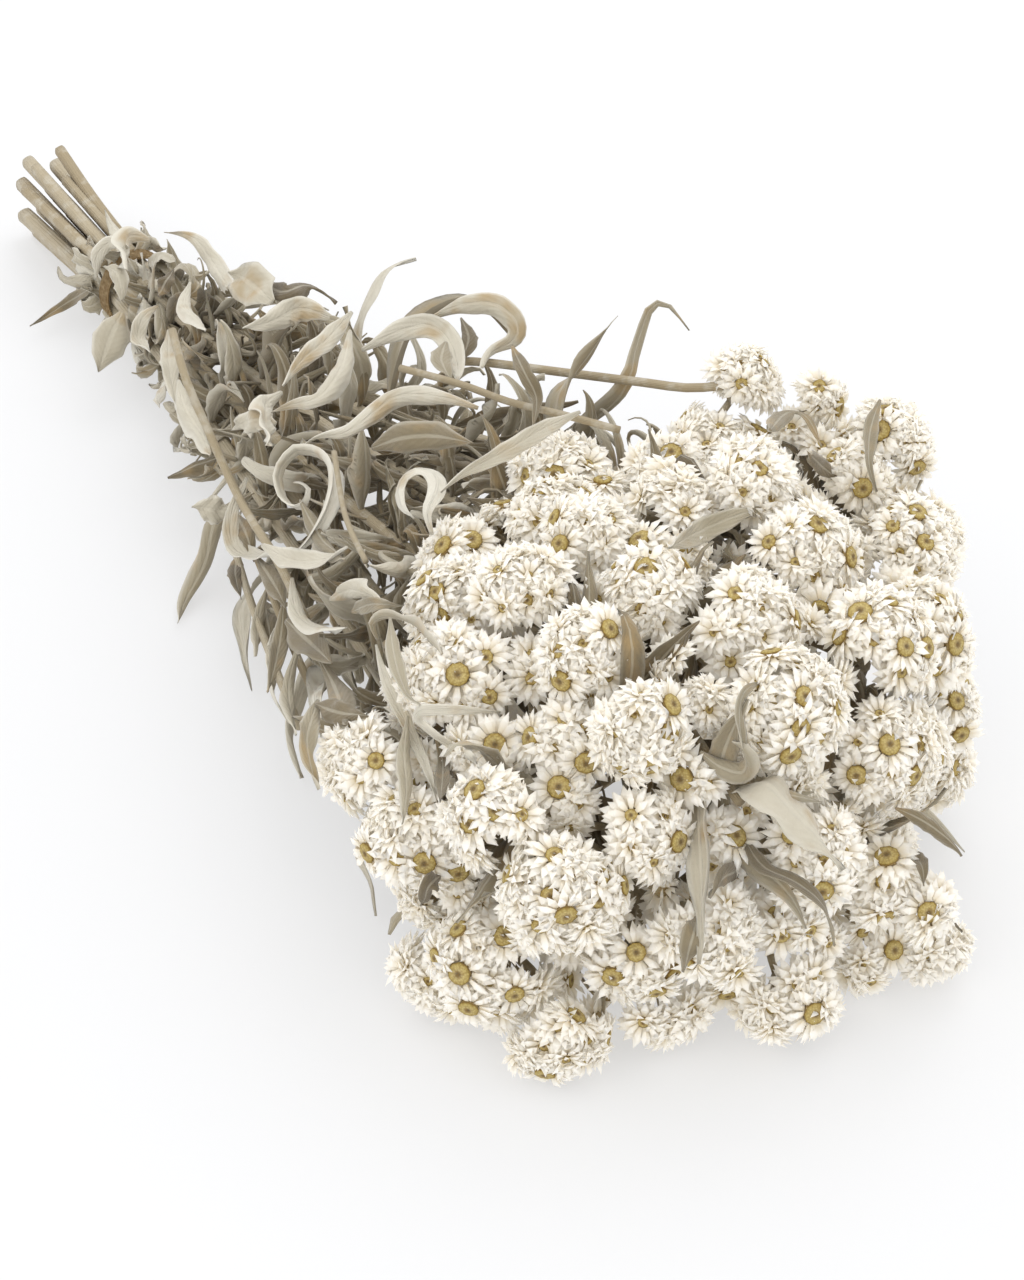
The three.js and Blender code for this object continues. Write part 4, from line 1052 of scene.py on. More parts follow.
def layer_tree():
    """One layer of bracts round every head: how many, how long, and how far they open."""
    inputs = [("Heads", "Geometry"), ("Bract", "Geometry"), ("Count", "Int")]
    inputs += [(name, "Float") for name in LAYER_VALUES[1:]] + [("Seed", "Int")]
    tree, nodes, given = new_tree("bract layer", inputs, "Bracts")
    heads = {"Geometry": given["Heads"], "Amount": given["Count"]}
    copies = nodes.add("GeometryNodeDuplicateElements", heads, domain="POINT")
    size, openness = named(nodes, "size"), named(nodes, "openness")

    def shaken(low, high, shift):
        seed = nodes.plus(given["Seed"], shift)
        made = nodes.add("FunctionNodeRandomValue", data_type="FLOAT")
        made.inputs[2].default_value = low
        made.inputs[3].default_value = high
        tree.links.new(seed, made.inputs["Seed"])
        return made.outputs[1]

    def between(closed, opened):
        span = nodes.math("SUBTRACT", given[opened], given[closed])
        return nodes.plus(given[closed], nodes.times(openness, span))

    def rotated(rotation, axis, angle):
        by = nodes.add("FunctionNodeAxisAngleToRotation", {"Axis": axis, "Angle": angle}).outputs[0]
        return nodes.add("FunctionNodeRotateRotation", {"Rotation": rotation, "Rotate By": by},
                         rotation_space="LOCAL").outputs[0]

    step = nodes.math("DIVIDE", 2 * math.pi, given["Count"])
    place = nodes.plus(copies.outputs["Duplicate Index"], shaken(-0.28, 0.28, 1))
    angle = nodes.plus(nodes.times(place, step), named(nodes, "turn"))
    round_head = rotated(head_rotation(nodes), (0, 0, 1), angle)
    tilt = nodes.plus(between("Closed Tilt", "Open Tilt"), shaken(-0.16, 0.16, 2))
    rotation = rotated(round_head, (1, 0, 0), tilt)
    ring = nodes.times(nodes.times(between("Closed Ring", "Open Ring"), size), -1.0)
    seat = nodes.add("ShaderNodeCombineXYZ", {"Y": ring, "Z": nodes.times(given["Height"], size)}).outputs[0]
    offset = nodes.add("FunctionNodeRotateVector", {"Vector": seat, "Rotation": round_head}).outputs[0]
    seated = nodes.add("GeometryNodeSetPosition", {"Geometry": copies.outputs["Geometry"], "Offset": offset})
    length = nodes.times(nodes.times(given["Length"], size), shaken(0.85, 1.12, 3))
    width = nodes.times(nodes.times(given["Width"], size), shaken(0.85, 1.15, 4))
    scale = nodes.add("ShaderNodeCombineXYZ", {"X": width, "Y": length, "Z": length}).outputs[0]
    bracts = nodes.add("GeometryNodeInstanceOnPoints", {
        "Points": seated.outputs[0], "Instance": given["Bract"], "Rotation": rotation, "Scale": scale})
    made = nodes.add("NodeGroupOutput")
    tree.links.new(bracts.outputs[0], made.inputs[0])
    return tree


def flower_tree(layer):
    """Stalks with a head at every point of another object: a heart, and the layers of bracts round it."""
    inputs = (("Stalks", "Geometry"), ("Heads", "Object"), ("Bract", "Object"), ("Heart", "Object"),
              ("Seed", "Int"), ("Bract Material", "Material"), ("Heart Material", "Material"))
    tree, nodes, given = new_tree("flower heads", inputs, "Flowers")

    def shape(name):
        return nodes.add("GeometryNodeObjectInfo", {"Object": given[name]},
                         transform_space="ORIGINAL").outputs["Geometry"]

    heads = nodes.add("GeometryNodeMeshToPoints", {"Mesh": shape("Heads"), "Radius": 0.001}).outputs[0]
    bract = shape("Bract")
    joined = nodes.add("GeometryNodeJoinGeometry")
    for number, values in enumerate(LAYERS):
        made = nodes.add("GeometryNodeGroup")
        made.node_tree = layer
        tree.links.new(heads, made.inputs["Heads"])
        tree.links.new(bract, made.inputs["Bract"])
        tree.links.new(nodes.plus(given["Seed"], number * 10), made.inputs["Seed"])
        for place, (name, value) in enumerate(zip(LAYER_VALUES, values)):
            made.inputs[name].default_value = value if place < FIRST_SIZE else value / 1000
        tree.links.new(made.outputs[0], joined.inputs[0])
    bracts = nodes.add("GeometryNodeRealizeInstances", {"Geometry": joined.outputs[0]}).outputs[0]
    bracts = nodes.add("GeometryNodeSetMaterial", {"Geometry": bracts, "Material": given["Bract Material"]})
    size, openness = named(nodes, "size"), named(nodes, "openness")
    rotation = head_rotation(nodes)
    wide = nodes.times(size, nodes.plus(0.0011, nodes.times(openness, 0.00135)))
    tall = nodes.times(size, nodes.plus(0.0023, nodes.times(openness, 0.0009)))
    scale = nodes.add("ShaderNodeCombineXYZ", {"X": wide, "Y": wide, "Z": tall}).outputs[0]
    hearts = nodes.add("GeometryNodeInstanceOnPoints", {
        "Points": heads, "Instance": shape("Heart"), "Rotation": rotation, "Scale": scale}).outputs[0]
    hearts = nodes.add("GeometryNodeRealizeInstances", {"Geometry": hearts}).outputs[0]
    hearts = nodes.add("GeometryNodeSetMaterial", {"Geometry": hearts, "Material": given["Heart Material"]})
    whole = nodes.add("GeometryNodeJoinGeometry")
    for part in (given["Stalks"], bracts.outputs[0], hearts.outputs[0]):
        tree.links.new(part, whole.inputs[0])
    made = nodes.add("NodeGroupOutput")
    tree.links.new(whole.outputs[0], made.inputs[0])
    return tree


def with_tree(subject, tree, **inputs):
    """The subject with the tree's result as a plain mesh."""
    modifier = subject.modifiers.new("flowers", "NODES")
    modifier.node_group = tree
    for item in tree.interface.items_tree:
        if item.in_out == "INPUT" and item.name in inputs:
            modifier[item.identifier] = inputs[item.name]
    graph = bpy.context.evaluated_depsgraph_get()
    mesh = bpy.data.meshes.new_from_object(subject.evaluated_get(graph), depsgraph=graph)
    subject.modifiers.remove(modifier)
    places = np.empty(3 * len(mesh.vertices), np.float32)
    mesh.vertices.foreach_get("co", places)
    places[2::3] = np.maximum(places[2::3], 0)
    mesh.vertices.foreach_set("co", places)
    subject.data = mesh
    return subject


# How heads sit on a cluster, and the smaller clusters that close the gaps
BURIED = 0.85
CAP_DEPTH = 1.28
CAP_COVER = 0.88
# Heads of the deep filler clusters keep this share of their tone: painted shade, cream where they lie between
# clusters
SHADE_TONE = 0.4
OPEN_RISE = 1.3
HEAD_REACH = 6.4
LOWEST_FACING = -0.6
FILLER_GAP = (-9.0, 17.0)
FILLER_RADIUS = (6.5, 11.5)
FILLER_SINK = 4.0
# Gaps between clusters that the photo doesn't show, by its pixels, and the size of what fills them
SEEN_GAPS = ((596, 1003), (795, 960), (797, 434), (640, 785), (749, 817), (739, 409), (822, 934), (773, 908),
             (750, 882), (643, 684), (516, 708), (763, 963), (584, 989), (925, 912), (590, 624), (708, 738),
             (614, 792), (871, 674))
SEEN_RADIUS = 8.5
taken_places = []
fillers = []


def depth_in(cluster, place):
    """Below 1 inside the rounded cap of a cluster, above 1 outside it."""
    apart = place - np.array(cluster["middle"])
    height = apart.dot(np.array(cluster["axis"]))
    across = apart - height * np.array(cluster["axis"])
    return (across.dot(across) + (height / CAP_FLATNESS) ** 2) / cluster["radius"] ** 2


def head_places(cluster, random):
    """The feet, directions, sizes and openness of the heads of one cluster, clear of those placed before."""
    radius = cluster["radius"]
    area = 2 * math.pi * radius ** 2 * CAP_DEPTH * CAP_COVER
    count = max(round(area / HEAD_SPAN ** 2), 5)
    axis = np.array(cluster["axis"])
    across = np.array(across_of(cluster["axis"]))
    up = np.cross(axis, across)
    start = random.uniform(0, FULL_TURN)
    near = [other for other in clusters + fillers if other is not cluster
            and size_of(sub(other["middle"], cluster["middle"])) < other["radius"] + radius]
    heads = []
    for i in range(count):
        height = 1 - CAP_DEPTH * (i + 0.4) / (count - 0.2)
        ring = math.sqrt(max(1 - height * height, 0))
        angle = start + i * math.pi * (3 - math.sqrt(5)) + random.uniform(-0.12, 0.12)
        direction = across * ring * math.cos(angle) + up * ring * math.sin(angle)
        place = np.array(cluster["middle"]) + radius * (direction + axis * height * CAP_FLATNESS)
        normal = direction * CAP_FLATNESS + axis * height + random.normal(0, 0.1, 3)
        normal /= np.linalg.norm(normal)
        size = random.uniform(0.96, 1.2)
        sunk = random.uniform(-0.3, 1.4)
        openness, turn, tone = opened(random), random.uniform(0, FULL_TURN), random.uniform(0, 1)
        # Painted shade: heads of the deep filler clusters are toned towards cream.
        if "painted_shade" in cluster:
            tone *= SHADE_TONE
        buried = normal[2] < LOWEST_FACING or any(depth_in(other, place) < BURIED for other in near)
        if buried or any(np.linalg.norm(place - other) < HEAD_SPACING for other in taken_places):
            continue
        taken_places.append(place)
        rise = OPEN_RISE * openness - sunk - HEAD_HEIGHT * size
        reach = HEAD_REACH * size * math.sqrt(1 - min(normal[2] ** 2, 1))
        place[2] = max(place[2], reach - min(rise * normal[2], 0))
        heads.append((place + normal * rise, normal, size, openness, turn, tone))
    return heads


def opened(random):
    """How far a head opens: 0 closed, 1 a flat star round its disc."""
    chance = random.uniform()
    if chance < OPEN_SHARE:
        return random.uniform(0.85, 1.0)
    if chance < OPEN_SHARE + HALF_OPEN_SHARE:
        return random.uniform(0.4, 0.65)
    return random.uniform(0.0, 0.24)


def plan_fillers():
    """Smaller, deeper clusters between neighbours, so the heads close up as in a full bunch; marked for
    painted shade.
    """
    pairs = []
    for i, a in enumerate(clusters):
        for b in clusters[i + 1:]:
            gap = size_of(sub(a["middle"], b["middle"])) - a["radius"] - b["radius"]
            if FILLER_GAP[0] < gap < FILLER_GAP[1]:
                pairs.append((gap, a, b))
    for gap, a, b in sorted(pairs, key=lambda pair: pair[0]):
        between = mix(a["middle"], b["middle"], 0.5)
        axis = unit(add(a["axis"], b["axis"]))
        radius = min(max(0.6 * min(a["radius"], b["radius"]) + gap / 3, FILLER_RADIUS[0]), FILLER_RADIUS[1])
        middle = add(between, axis, -FILLER_SINK)
        middle = (middle[0], middle[1], max(middle[2], radius + 1))
        filler = dict(middle=middle, radius=radius, stem=a["stem"], axis=axis, painted_shade=True)
        inside = any(depth_in(other, np.array(middle)) < 0.5 for other in clusters)
        if not inside and all(size_of(sub(other["middle"], middle)) > 0.9 * radius for other in fillers):
            fillers.append(filler)
    for pixel in SEEN_GAPS:
        places, out = sight_line(pixel)
        middle = tuple(places[int(np.argmin(out))])
        nearest = min(clusters, key=lambda other: size_of(sub(other["middle"], middle)) - other["radius"])
        axis = unit(add(TOWARDS_VIEWER, nearest["axis"]))
        middle = (middle[0], middle[1], max(middle[2], SEEN_RADIUS + 1))
        fillers.append(dict(middle=middle, radius=SEEN_RADIUS, stem=nearest["stem"], axis=axis, painted_shade=True))


def heads_object(name, heads):
    mesh = bpy.data.meshes.new(name)
    mesh.vertices.add(len(heads))
    mesh.vertices.foreach_set("co", to_frame([head[0] for head in heads]).astype(np.float32).ravel())
    facing = mesh.attributes.new("facing", "FLOAT_VECTOR", "POINT")
    facing.data.foreach_set("vector", np.array([head[1] for head in heads], np.float32).ravel())
    for position, label in ((2, "size"), (3, "openness"), (4, "turn"), (5, "tone")):
        layer = mesh.attributes.new(label, "FLOAT", "POINT")
        layer.data.foreach_set("value", np.array([head[position] for head in heads], np.float32))
    return new_object(name, mesh)


def corymb_piece(stem, tree, bract, heart):
    """The branched top of one stem, with all its heads."""
    random = np.random.default_rng(1000 + stem["index"])
    surface = Surface(f"flower_corymb_{stem['index'] + 1:02d}")
    heads = []
    carried = list(zip(stem["clusters"], stem["branchlets"]))
    for filler in fillers:
        if filler["stem"] == stem["index"]:
            start = stem["branchlets"][0].point(0.5)
            carried.append((filler, branchlet(start, unit(sub(cap_foot(filler), start)), filler)))
    for i, (cluster, curve) in enumerate(carried):
        found = head_places(cluster, random)
        if not found:
            continue
        points = [curve.point(t) for t in np.linspace(0, 1, 10)]
        start = STEM_TIP_RADIUS if i == 0 else BRANCHLET_RADIUS
        tube(surface, points, np.linspace(start, 0.85, 10) + random.uniform(-0.06, 0.06, 10), 0, sides=7)
        fork = np.array(points[-1])
        for head in found:
            end = head[0] + head[1] * 0.3
            middle = (fork + end) / 2 + np.array(cluster["axis"]) * 0.8
            line = [fork - np.array(cluster["axis"]) * 0.8, middle, end]
            tube(surface, line, [0.5, 0.42, 0.5], 0, sides=4)
        heads += found
    stalks = new_object(surface.name, surface.mesh([MATERIALS["stalk"]]))
    points = heads_object("heads", heads)
    inputs = {"Heads": points, "Bract": bract, "Heart": heart, "Seed": stem["index"],
              "Bract Material": MATERIALS["bract"], "Heart Material": MATERIALS["heart"]}
    with_tree(stalks, tree, **inputs)
    bpy.data.objects.remove(points)
    return stalks


# Leaves seen in the photo that only the picture shows: stem, width, twist, tone, crumpling, height over
# the bunch, and the photo's pixels under their middle line. Sizes are in millimetres.
PICTURE_LEAVES = (
    (1, 6, 0, 0.9, 0.15, 5, ((300, 548), (318, 527), (331, 497), (332, 470), (318, 453), (298, 449),
        (281, 463), (277, 485), (286, 503), (300, 508), (310, 496), (305, 484), (294, 482))),
    (0, 5, 0, 0.8, 0.15, 4, ((432, 535), (427, 512), (435, 495), (437, 478), (425, 469), (408, 472),
        (398, 487), (402, 507), (414, 518))),
    (4, 6, 0.5, 0.9, 0.5, 4, ((352, 312), (327, 340), (302, 360), (283, 386))),
    (4, 7, 0.8, 0.85, 0.6, 5, ((350, 330), (343, 365), (322, 396), (292, 405), (272, 412))),
    (2, 13, 0.4, 0.8, 1.4, 4, ((272, 302), (256, 288), (240, 276), (228, 272))),
    (2, 8, 0.5, 0.85, 0.7, 3, ((332, 318), (300, 309), (270, 322), (243, 328))),
    (2, 7, 0.4, 0.02, 0.7, 3, ((262, 282), (285, 293), (310, 286), (336, 304))),
    (1, 8, 1, 0.95, 1.1, 4, ((282, 392), (264, 408), (268, 446))),
    (1, 7, 0.6, 0.95, 1, 4, ((276, 424), (256, 420), (233, 428))),
    (2, 7, 0.8, 0.8, 0.5, 3, ((430, 318), (462, 305), (494, 304), (516, 322), (514, 340), (492, 352),
        (482, 368))),
    (2, 7, 0.4, 0.95, 0.5, 5, ((362, 350), (392, 334), (426, 325), (446, 338), (456, 362), (458, 382))),
    (2, 5.5, 0.3, 0.1, 0.3, 0, ((461, 318), (469, 340), (459, 364))),
    (2, 6.5, 0.3, 0.4, 0.3, 3, ((446, 342), (441, 362), (452, 382))),
    (2, 4, 0.6, 0.15, 0.3, 0, ((512, 346), (524, 372), (536, 398), (533, 426))),
    (4, 6, 1, 0.95, 0.4, 6, ((478, 408), (440, 397), (398, 396), (370, 416), (345, 433), (318, 437),
        (298, 449))),
    (4, 9, 0.3, 0.25, 0.6, 4, ((372, 448), (402, 438), (436, 436), (472, 443))),
    (4, 5, 0.5, 0.8, 0.4, 4, ((580, 412), (542, 430), (508, 450), (466, 472), (440, 492))),
    (7, 5, 0.8, 0.9, 0.4, 4, ((247, 478), (232, 512), (233, 545), (252, 557), (282, 553))),
    (7, 6, 0.9, 0.9, 0.5, 5, ((262, 545), (290, 560), (320, 562), (348, 548))),
    (9, 9, 0.5, 0.8, 1.2, 1, ((232, 512), (212, 510), (192, 506))),
    (9, 5, 0.4, 0.05, 0.3, 2, ((238, 553), (235, 575), (241, 599))),
    (9, 4, 0.8, 0.5, 0.4, 2, ((268, 585), (259, 615), (256, 656))),
    (9, 5, 0.8, 0.3, 0.4, 2, ((284, 600), (280, 640), (268, 692))),
    (9, 4.5, 0.9, 0.6, 0.5, 2, ((300, 640), (288, 690), (296, 735))),
    (9, 5, 0.9, 0.45, 0.6, 1, ((318, 700), (306, 745), (318, 790))),
    (7, 5, 1.2, 0.9, 0.4, 4, ((292, 578), (296, 610), (314, 628), (346, 628))),
    (7, 6, 0.8, 0.75, 0.7, 4, ((330, 600), (352, 590), (380, 600))),
    (7, 7, 0.3, 0.15, 0.5, 0, ((236, 514), (247, 536), (254, 562))),
    (7, 7, 0.3, 0.2, 0.5, 0, ((256, 556), (274, 584), (286, 608))),
    (7, 6, 0.3, 0.15, 0.5, 0, ((262, 598), (268, 622), (272, 650))),
    (1, 9, 0.4, 0.2, 0.5, 0, ((286, 620), (308, 641), (332, 664))),
    (1, 9, 0.3, 0.2, 0.5, 0, ((320, 660), (336, 690), (346, 724))),
    (1, 7, 0.3, 0.15, 0.5, 0, ((316, 704), (340, 713), (368, 716))),
    (8, 5, 0.8, 0.3, 0.5, 3, ((300, 500), (322, 540), (345, 560))),
    (9, 13, 0.3, 0.7, 0.9, 3, ((122, 312), (110, 340), (98, 372))),
    (9, 4, 0.5, 0.2, 0.4, 1, ((92, 288), (72, 300), (50, 314), (30, 326))),
    (1, 5, 0.8, 0.95, 0.5, 4, ((96, 278), (98, 254), (112, 242), (130, 248))),
    (1, 8, 0.8, 0.9, 0.9, 4, ((150, 240), (130, 236), (122, 252), (128, 270))),
    (0, 7, 0.6, 0.85, 0.8, 3, ((228, 288), (212, 262), (194, 238), (164, 232))),
    (0, 5, 0.8, 0.95, 0.4, 5, ((190, 282), (184, 305), (196, 318), (206, 330))),
    (1, 5.5, 0.2, -0.3, 0.5, 6, ((158, 296), (165, 284), (174, 270))),
    (7, 5, 0.8, 0.9, 0.4, 5, ((158, 306), (143, 318), (138, 340), (150, 352))),
    (7, 6, 0.8, 0.75, 0.8, 4, ((122, 300), (118, 275), (104, 266))),
    (7, 7, 0.8, 0.9, 0.8, 3, ((178, 380), (186, 410), (200, 432), (210, 456))),
    (9, 6, 0.8, 0.85, 0.8, 3, ((168, 330), (170, 370), (176, 410))),
    (1, 4, 0.6, 0.35, 0.4, 3, ((352, 612), (372, 604), (402, 606))),
    (1, 4.5, 0.5, 0.5, 0.4, 4, ((378, 640), (372, 624), (386, 616), (412, 622), (442, 654))),
    (1, 4, 0.6, 0.55, 0.4, 4, ((390, 618), (394, 655), (405, 692), (420, 704))),
    (1, 3.2, 0.5, 1, 0.3, 4, ((376, 645), (386, 682), (402, 715), (418, 748), (430, 778), (437, 804))),
    (1, 3.2, 0.9, 1, 0.4, 4, ((500, 712), (460, 710), (424, 710), (415, 719), (436, 736), (460, 750),
        (480, 768))),
    (7, 4.5, 0.5, 0.6, 0.4, 3, ((408, 716), (404, 752), (406, 790), (402, 824))),
    (8, 3.6, 0.4, 0.15, 0.3, 4, ((436, 738), (443, 765), (440, 802))),
    (5, 2.6, 0.6, 0.4, 0.3, 4, ((760, 682), (744, 692), (738, 714), (742, 744), (750, 770))),
    (14, 6, 0.6, 0.45, 0.4, 5, ((700, 752), (722, 768), (744, 772), (746, 752), (732, 742))),
    (14, 4.5, 0.4, 0.5, 0.4, 5, ((742, 774), (780, 792), (822, 802))),
    (14, 4, 0.7, 0.12, 0.3, 6, ((742, 834), (762, 866), (796, 884), (824, 908), (834, 946))),
    (14, 6, 0.5, 0.1, 0.4, 6, ((744, 870), (724, 876), (710, 898))),
    (11, 5.5, 0.4, 0.25, 0.4, 3, ((699, 914), (691, 940), (683, 972))),
    (9, 5, 0.5, 0.05, 0.4, 3, ((440, 876), (428, 886), (421, 906))),
    (3, 5, 0.6, 0.25, 0.5, 3, ((770, 430), (786, 414), (806, 418), (822, 446))),
    (3, 4.5, 0.6, 0.15, 0.5, 3, ((846, 484), (826, 470), (808, 452))),
    (3, 4, 0.5, 0.3, 0.3, 3, ((880, 400), (870, 430), (868, 462), (876, 492))),
    (4, 6, 0.4, 0.6, 0.4, 4, ((762, 508), (730, 518), (698, 532), (668, 548))),
    (13, 4, 0.6, 0.2, 0.4, 3, ((895, 808), (918, 818), (944, 836), (962, 856))),
    (13, 4, 0.6, 0.15, 0.4, 3, ((912, 850), (922, 868), (924, 886))),
    (13, 4, 0.6, 0.1, 0.4, 3, ((930, 905), (945, 915), (962, 932))),
)

# Stalks seen in the photo that only the picture shows: stem, radius, height over the bunch, and pixels
PICTURE_STALKS = (
    (2, 1.1, 3, ((440, 362), (480, 362), (560, 372), (640, 382), (690, 388), (738, 384))),
    (2, 0.9, 3, ((400, 368), (460, 384), (510, 402), (560, 414), (620, 430))),
    (9, 1.1, 3, ((172, 330), (186, 380), (206, 426), (240, 500), (278, 562), (306, 620))),
    (1, 0.7, 5, ((334, 452), (345, 515), (366, 562))),
    (9, 1, 2, ((232, 540), (250, 600), (280, 680), (300, 728))),
    (7, 1, 3, ((258, 560), (290, 640), (312, 690))),
)
# Cut ends that the photo shows above the others: stem, radius, height of the cut end, and pixels
CUT_STALKS = (
    (4, 1.9, 34, ((36, 168), (76, 214), (114, 256))),
    (3, 1.8, 36, ((60, 150), (94, 200), (130, 246))),
    (2, 1.8, 28, ((26, 190), (64, 226), (104, 266))),
    (13, 1.7, 32, ((66, 180), (100, 218), (140, 262))),
)
PHOTO_MIDDLE = (512, 640)
SIGHT_RANGE = (520, 980)
MASS_DEPTH = 25
MASS_FRONT = -35
TIE_BACK = 16
LOWEST_PLACE = 1.5
CRUMPLED_REACH = (-38, 18)
UPPER_REACH = (2, 50)
LOWER_REACH = (8, -45, -12)
BLADE_DEPTH = 1
CORE_SHARE = 0.8
STALK_LEVEL = 6
TIED_HEIGHT = 26
DEEPEST_STEP = 6
ROOT_SINK = 7
TOWARDS_VIEWER = (-0.42, -0.67, 0.61)
EXTRA_LEAF = dict(roll=1.9, tilt=(0.2, 1.3), length=(15, 36), width=(2.4, 5.8),
                  bend=(-1.6, 3), curl=(-14, 20))
CRUMPLED_LEAF = dict(roll=2.2, tilt=(0.4, 2.4), length=(13, 24), width=(4.5, 8),
                     bend=(-1.5, 4.5), curl=(-6, 12))
INNER_LEAF = dict(roll=2.4, tilt=(0.3, 1.7), length=(16, 32), width=(4, 9),
                  bend=(-1.5, 2.5), curl=(-8, 12))
EXTRA_LEAVES = 56
INNER_TRIES = 13
CRUMPLED_LEAVES = 9
UPPER_SHARE = 0.25
EXTRA_SLACK = 1.2
ROLLED_SHARE = 0.3
ROLLED_RADIUS = 0.2


class Shaken:
    """Seeded numbers with the call that drawn_leaf uses."""

    def __init__(self, seed):
        self.random = np.random.default_rng(seed)

    def between(self, low, high):
        return float(self.random.uniform(low, high))


def extra_leaves(stem):
    """Leaves that only the picture shows: they fill the mass round the stems."""
    shaken = Shaken(2000 + stem["index"])
    made = []
    wanted = EXTRA_LEAVES + CRUMPLED_LEAVES
    for _ in range(wanted * 12):
        if len(made) == wanted:
            break
        crumpled = len(made) < CRUMPLED_LEAVES
        if crumpled:
            y = TIE[1] + shaken.between(*CRUMPLED_REACH)
        elif shaken.between(0, 1) < UPPER_SHARE:
            y = stem["fork"][1] + shaken.between(*UPPER_REACH)
        else:
            past_fork, lowest, before_tie = LOWER_REACH
            y = shaken.between(max(stem["fork"][1] + past_fork, lowest), TIE[1] + before_tie)
        leaf = drawn_leaf(stem, y, CRUMPLED_LEAF if crumpled else EXTRA_LEAF, shaken)
        places, _ = leaf_samples(leaf)
        if places[:, 2].min() < LOWEST_PLACE or mass_place(places).max() > EXTRA_SLACK:
            continue
        if reaches_into(places, radii - BLADE_DEPTH):
            continue
        made.append((leaf, crumpled))
    return made


def inner_leaves(stem):
    """Leaves along the branchlets, painted dark as shade, which close the depths between the clusters."""
    shaken = Shaken(5000 + stem["index"])
    made = []
    for curve in stem["branchlets"]:
        for _ in range(INNER_TRIES):
            t = shaken.between(0.1, 0.8)
            root = curve.point(t)
            along = unit(sub(curve.point(t + 0.05), root))
            away = turned(across_of(along), along, shaken.between(0, 2 * math.pi))
            leaf = grown_leaf(root, 0, along, away, INNER_LEAF, shaken)
            places, _ = leaf_samples(leaf)
            if places[:, 2].min() > LOWEST_PLACE and not reaches_into(places, radii * CORE_SHARE):
                made.append(leaf)
    return made


def reaches_into(places, reach):
    """Whether any of the places lies this near to the middle of a cluster."""
    return (np.linalg.norm(places[:, None] - middles[None], axis=2) < reach[None]).any()


def sight_line(pixel):
    """Places on the line from the camera through a pixel, and how far each is out of the bunch."""
    focal = CAMERA_LENS / CAMERA_SENSOR * 2 * PHOTO_MIDDLE[1]
    right, down = ((pixel[k] - PHOTO_MIDDLE[k]) / focal for k in range(2))
    direction = CAMERA_RIGHT * right - CAMERA_UP * down - CAMERA_AWAY
    places = CAMERA_PLACE + direction * np.arange(*SIGHT_RANGE)[:, None]
    places = places[places[:, 2] > 2]
    out = (np.linalg.norm(places[:, None] - middles[None], axis=2) - radii[None]).min(axis=1)
    leafy = (places[:, 1] > MASS_FRONT) & (places[:, 1] < TIE[1] + TIE_BACK)
    out[leafy] = np.minimum(out, MASS_DEPTH * (np.sqrt(mass_place(places)) - 1))[leafy]
    behind = places[:, 1] > TIE[1] + TIE_BACK
    out[behind] = places[behind, 2] - STALK_LEVEL
    return places, out


def over_bunch(pixels, lift, sunk):
    """The line seen at these pixels, a little over the leaves and flowers, its sunk ends among them."""
    lines = [sight_line(pixel) for pixel in pixels]
    met = [int(np.argmax(out < 0)) if (out < 0).any() else int(np.argmin(out)) for _, out in lines]
    touching = sorted(index for index, (_, out) in zip(met, lines) if out.min() < 0)
    deepest = touching[(len(touching) - 1) // 2] + DEEPEST_STEP if touching else max(met)
    met = [min(index, deepest) - lift for index in met]
    for end in sunk:
        met[end] += ROOT_SINK
    return [tuple(places[min(max(index, 0), len(places) - 1)]) for index, (places, _) in zip(met, lines)]


def at_heights(pixels, cut_height):
    """The line that is seen at these pixels, from the height of a cut end down to that of the tied stems."""
    line = []
    for pixel, height in zip(pixels, np.linspace(cut_height, TIED_HEIGHT, len(pixels))):
        places, _ = sight_line(pixel)
        line.append(tuple(places[int(np.argmin(np.abs(places[:, 2] - height)))]))
    return line


def picture_leaf(width, twist, line):
    """A leaf along a line. One that isn't twisted is a coil, and faces its middle."""
    points = smooth_line(line, LEAF_STEPS)
    facing = TOWARDS_VIEWER if twist else unit(sub(tuple(np.mean(points, axis=0)), points[0]))
    return finished_leaf(points, 0, scaled(facing, -1), width, twist, 6)


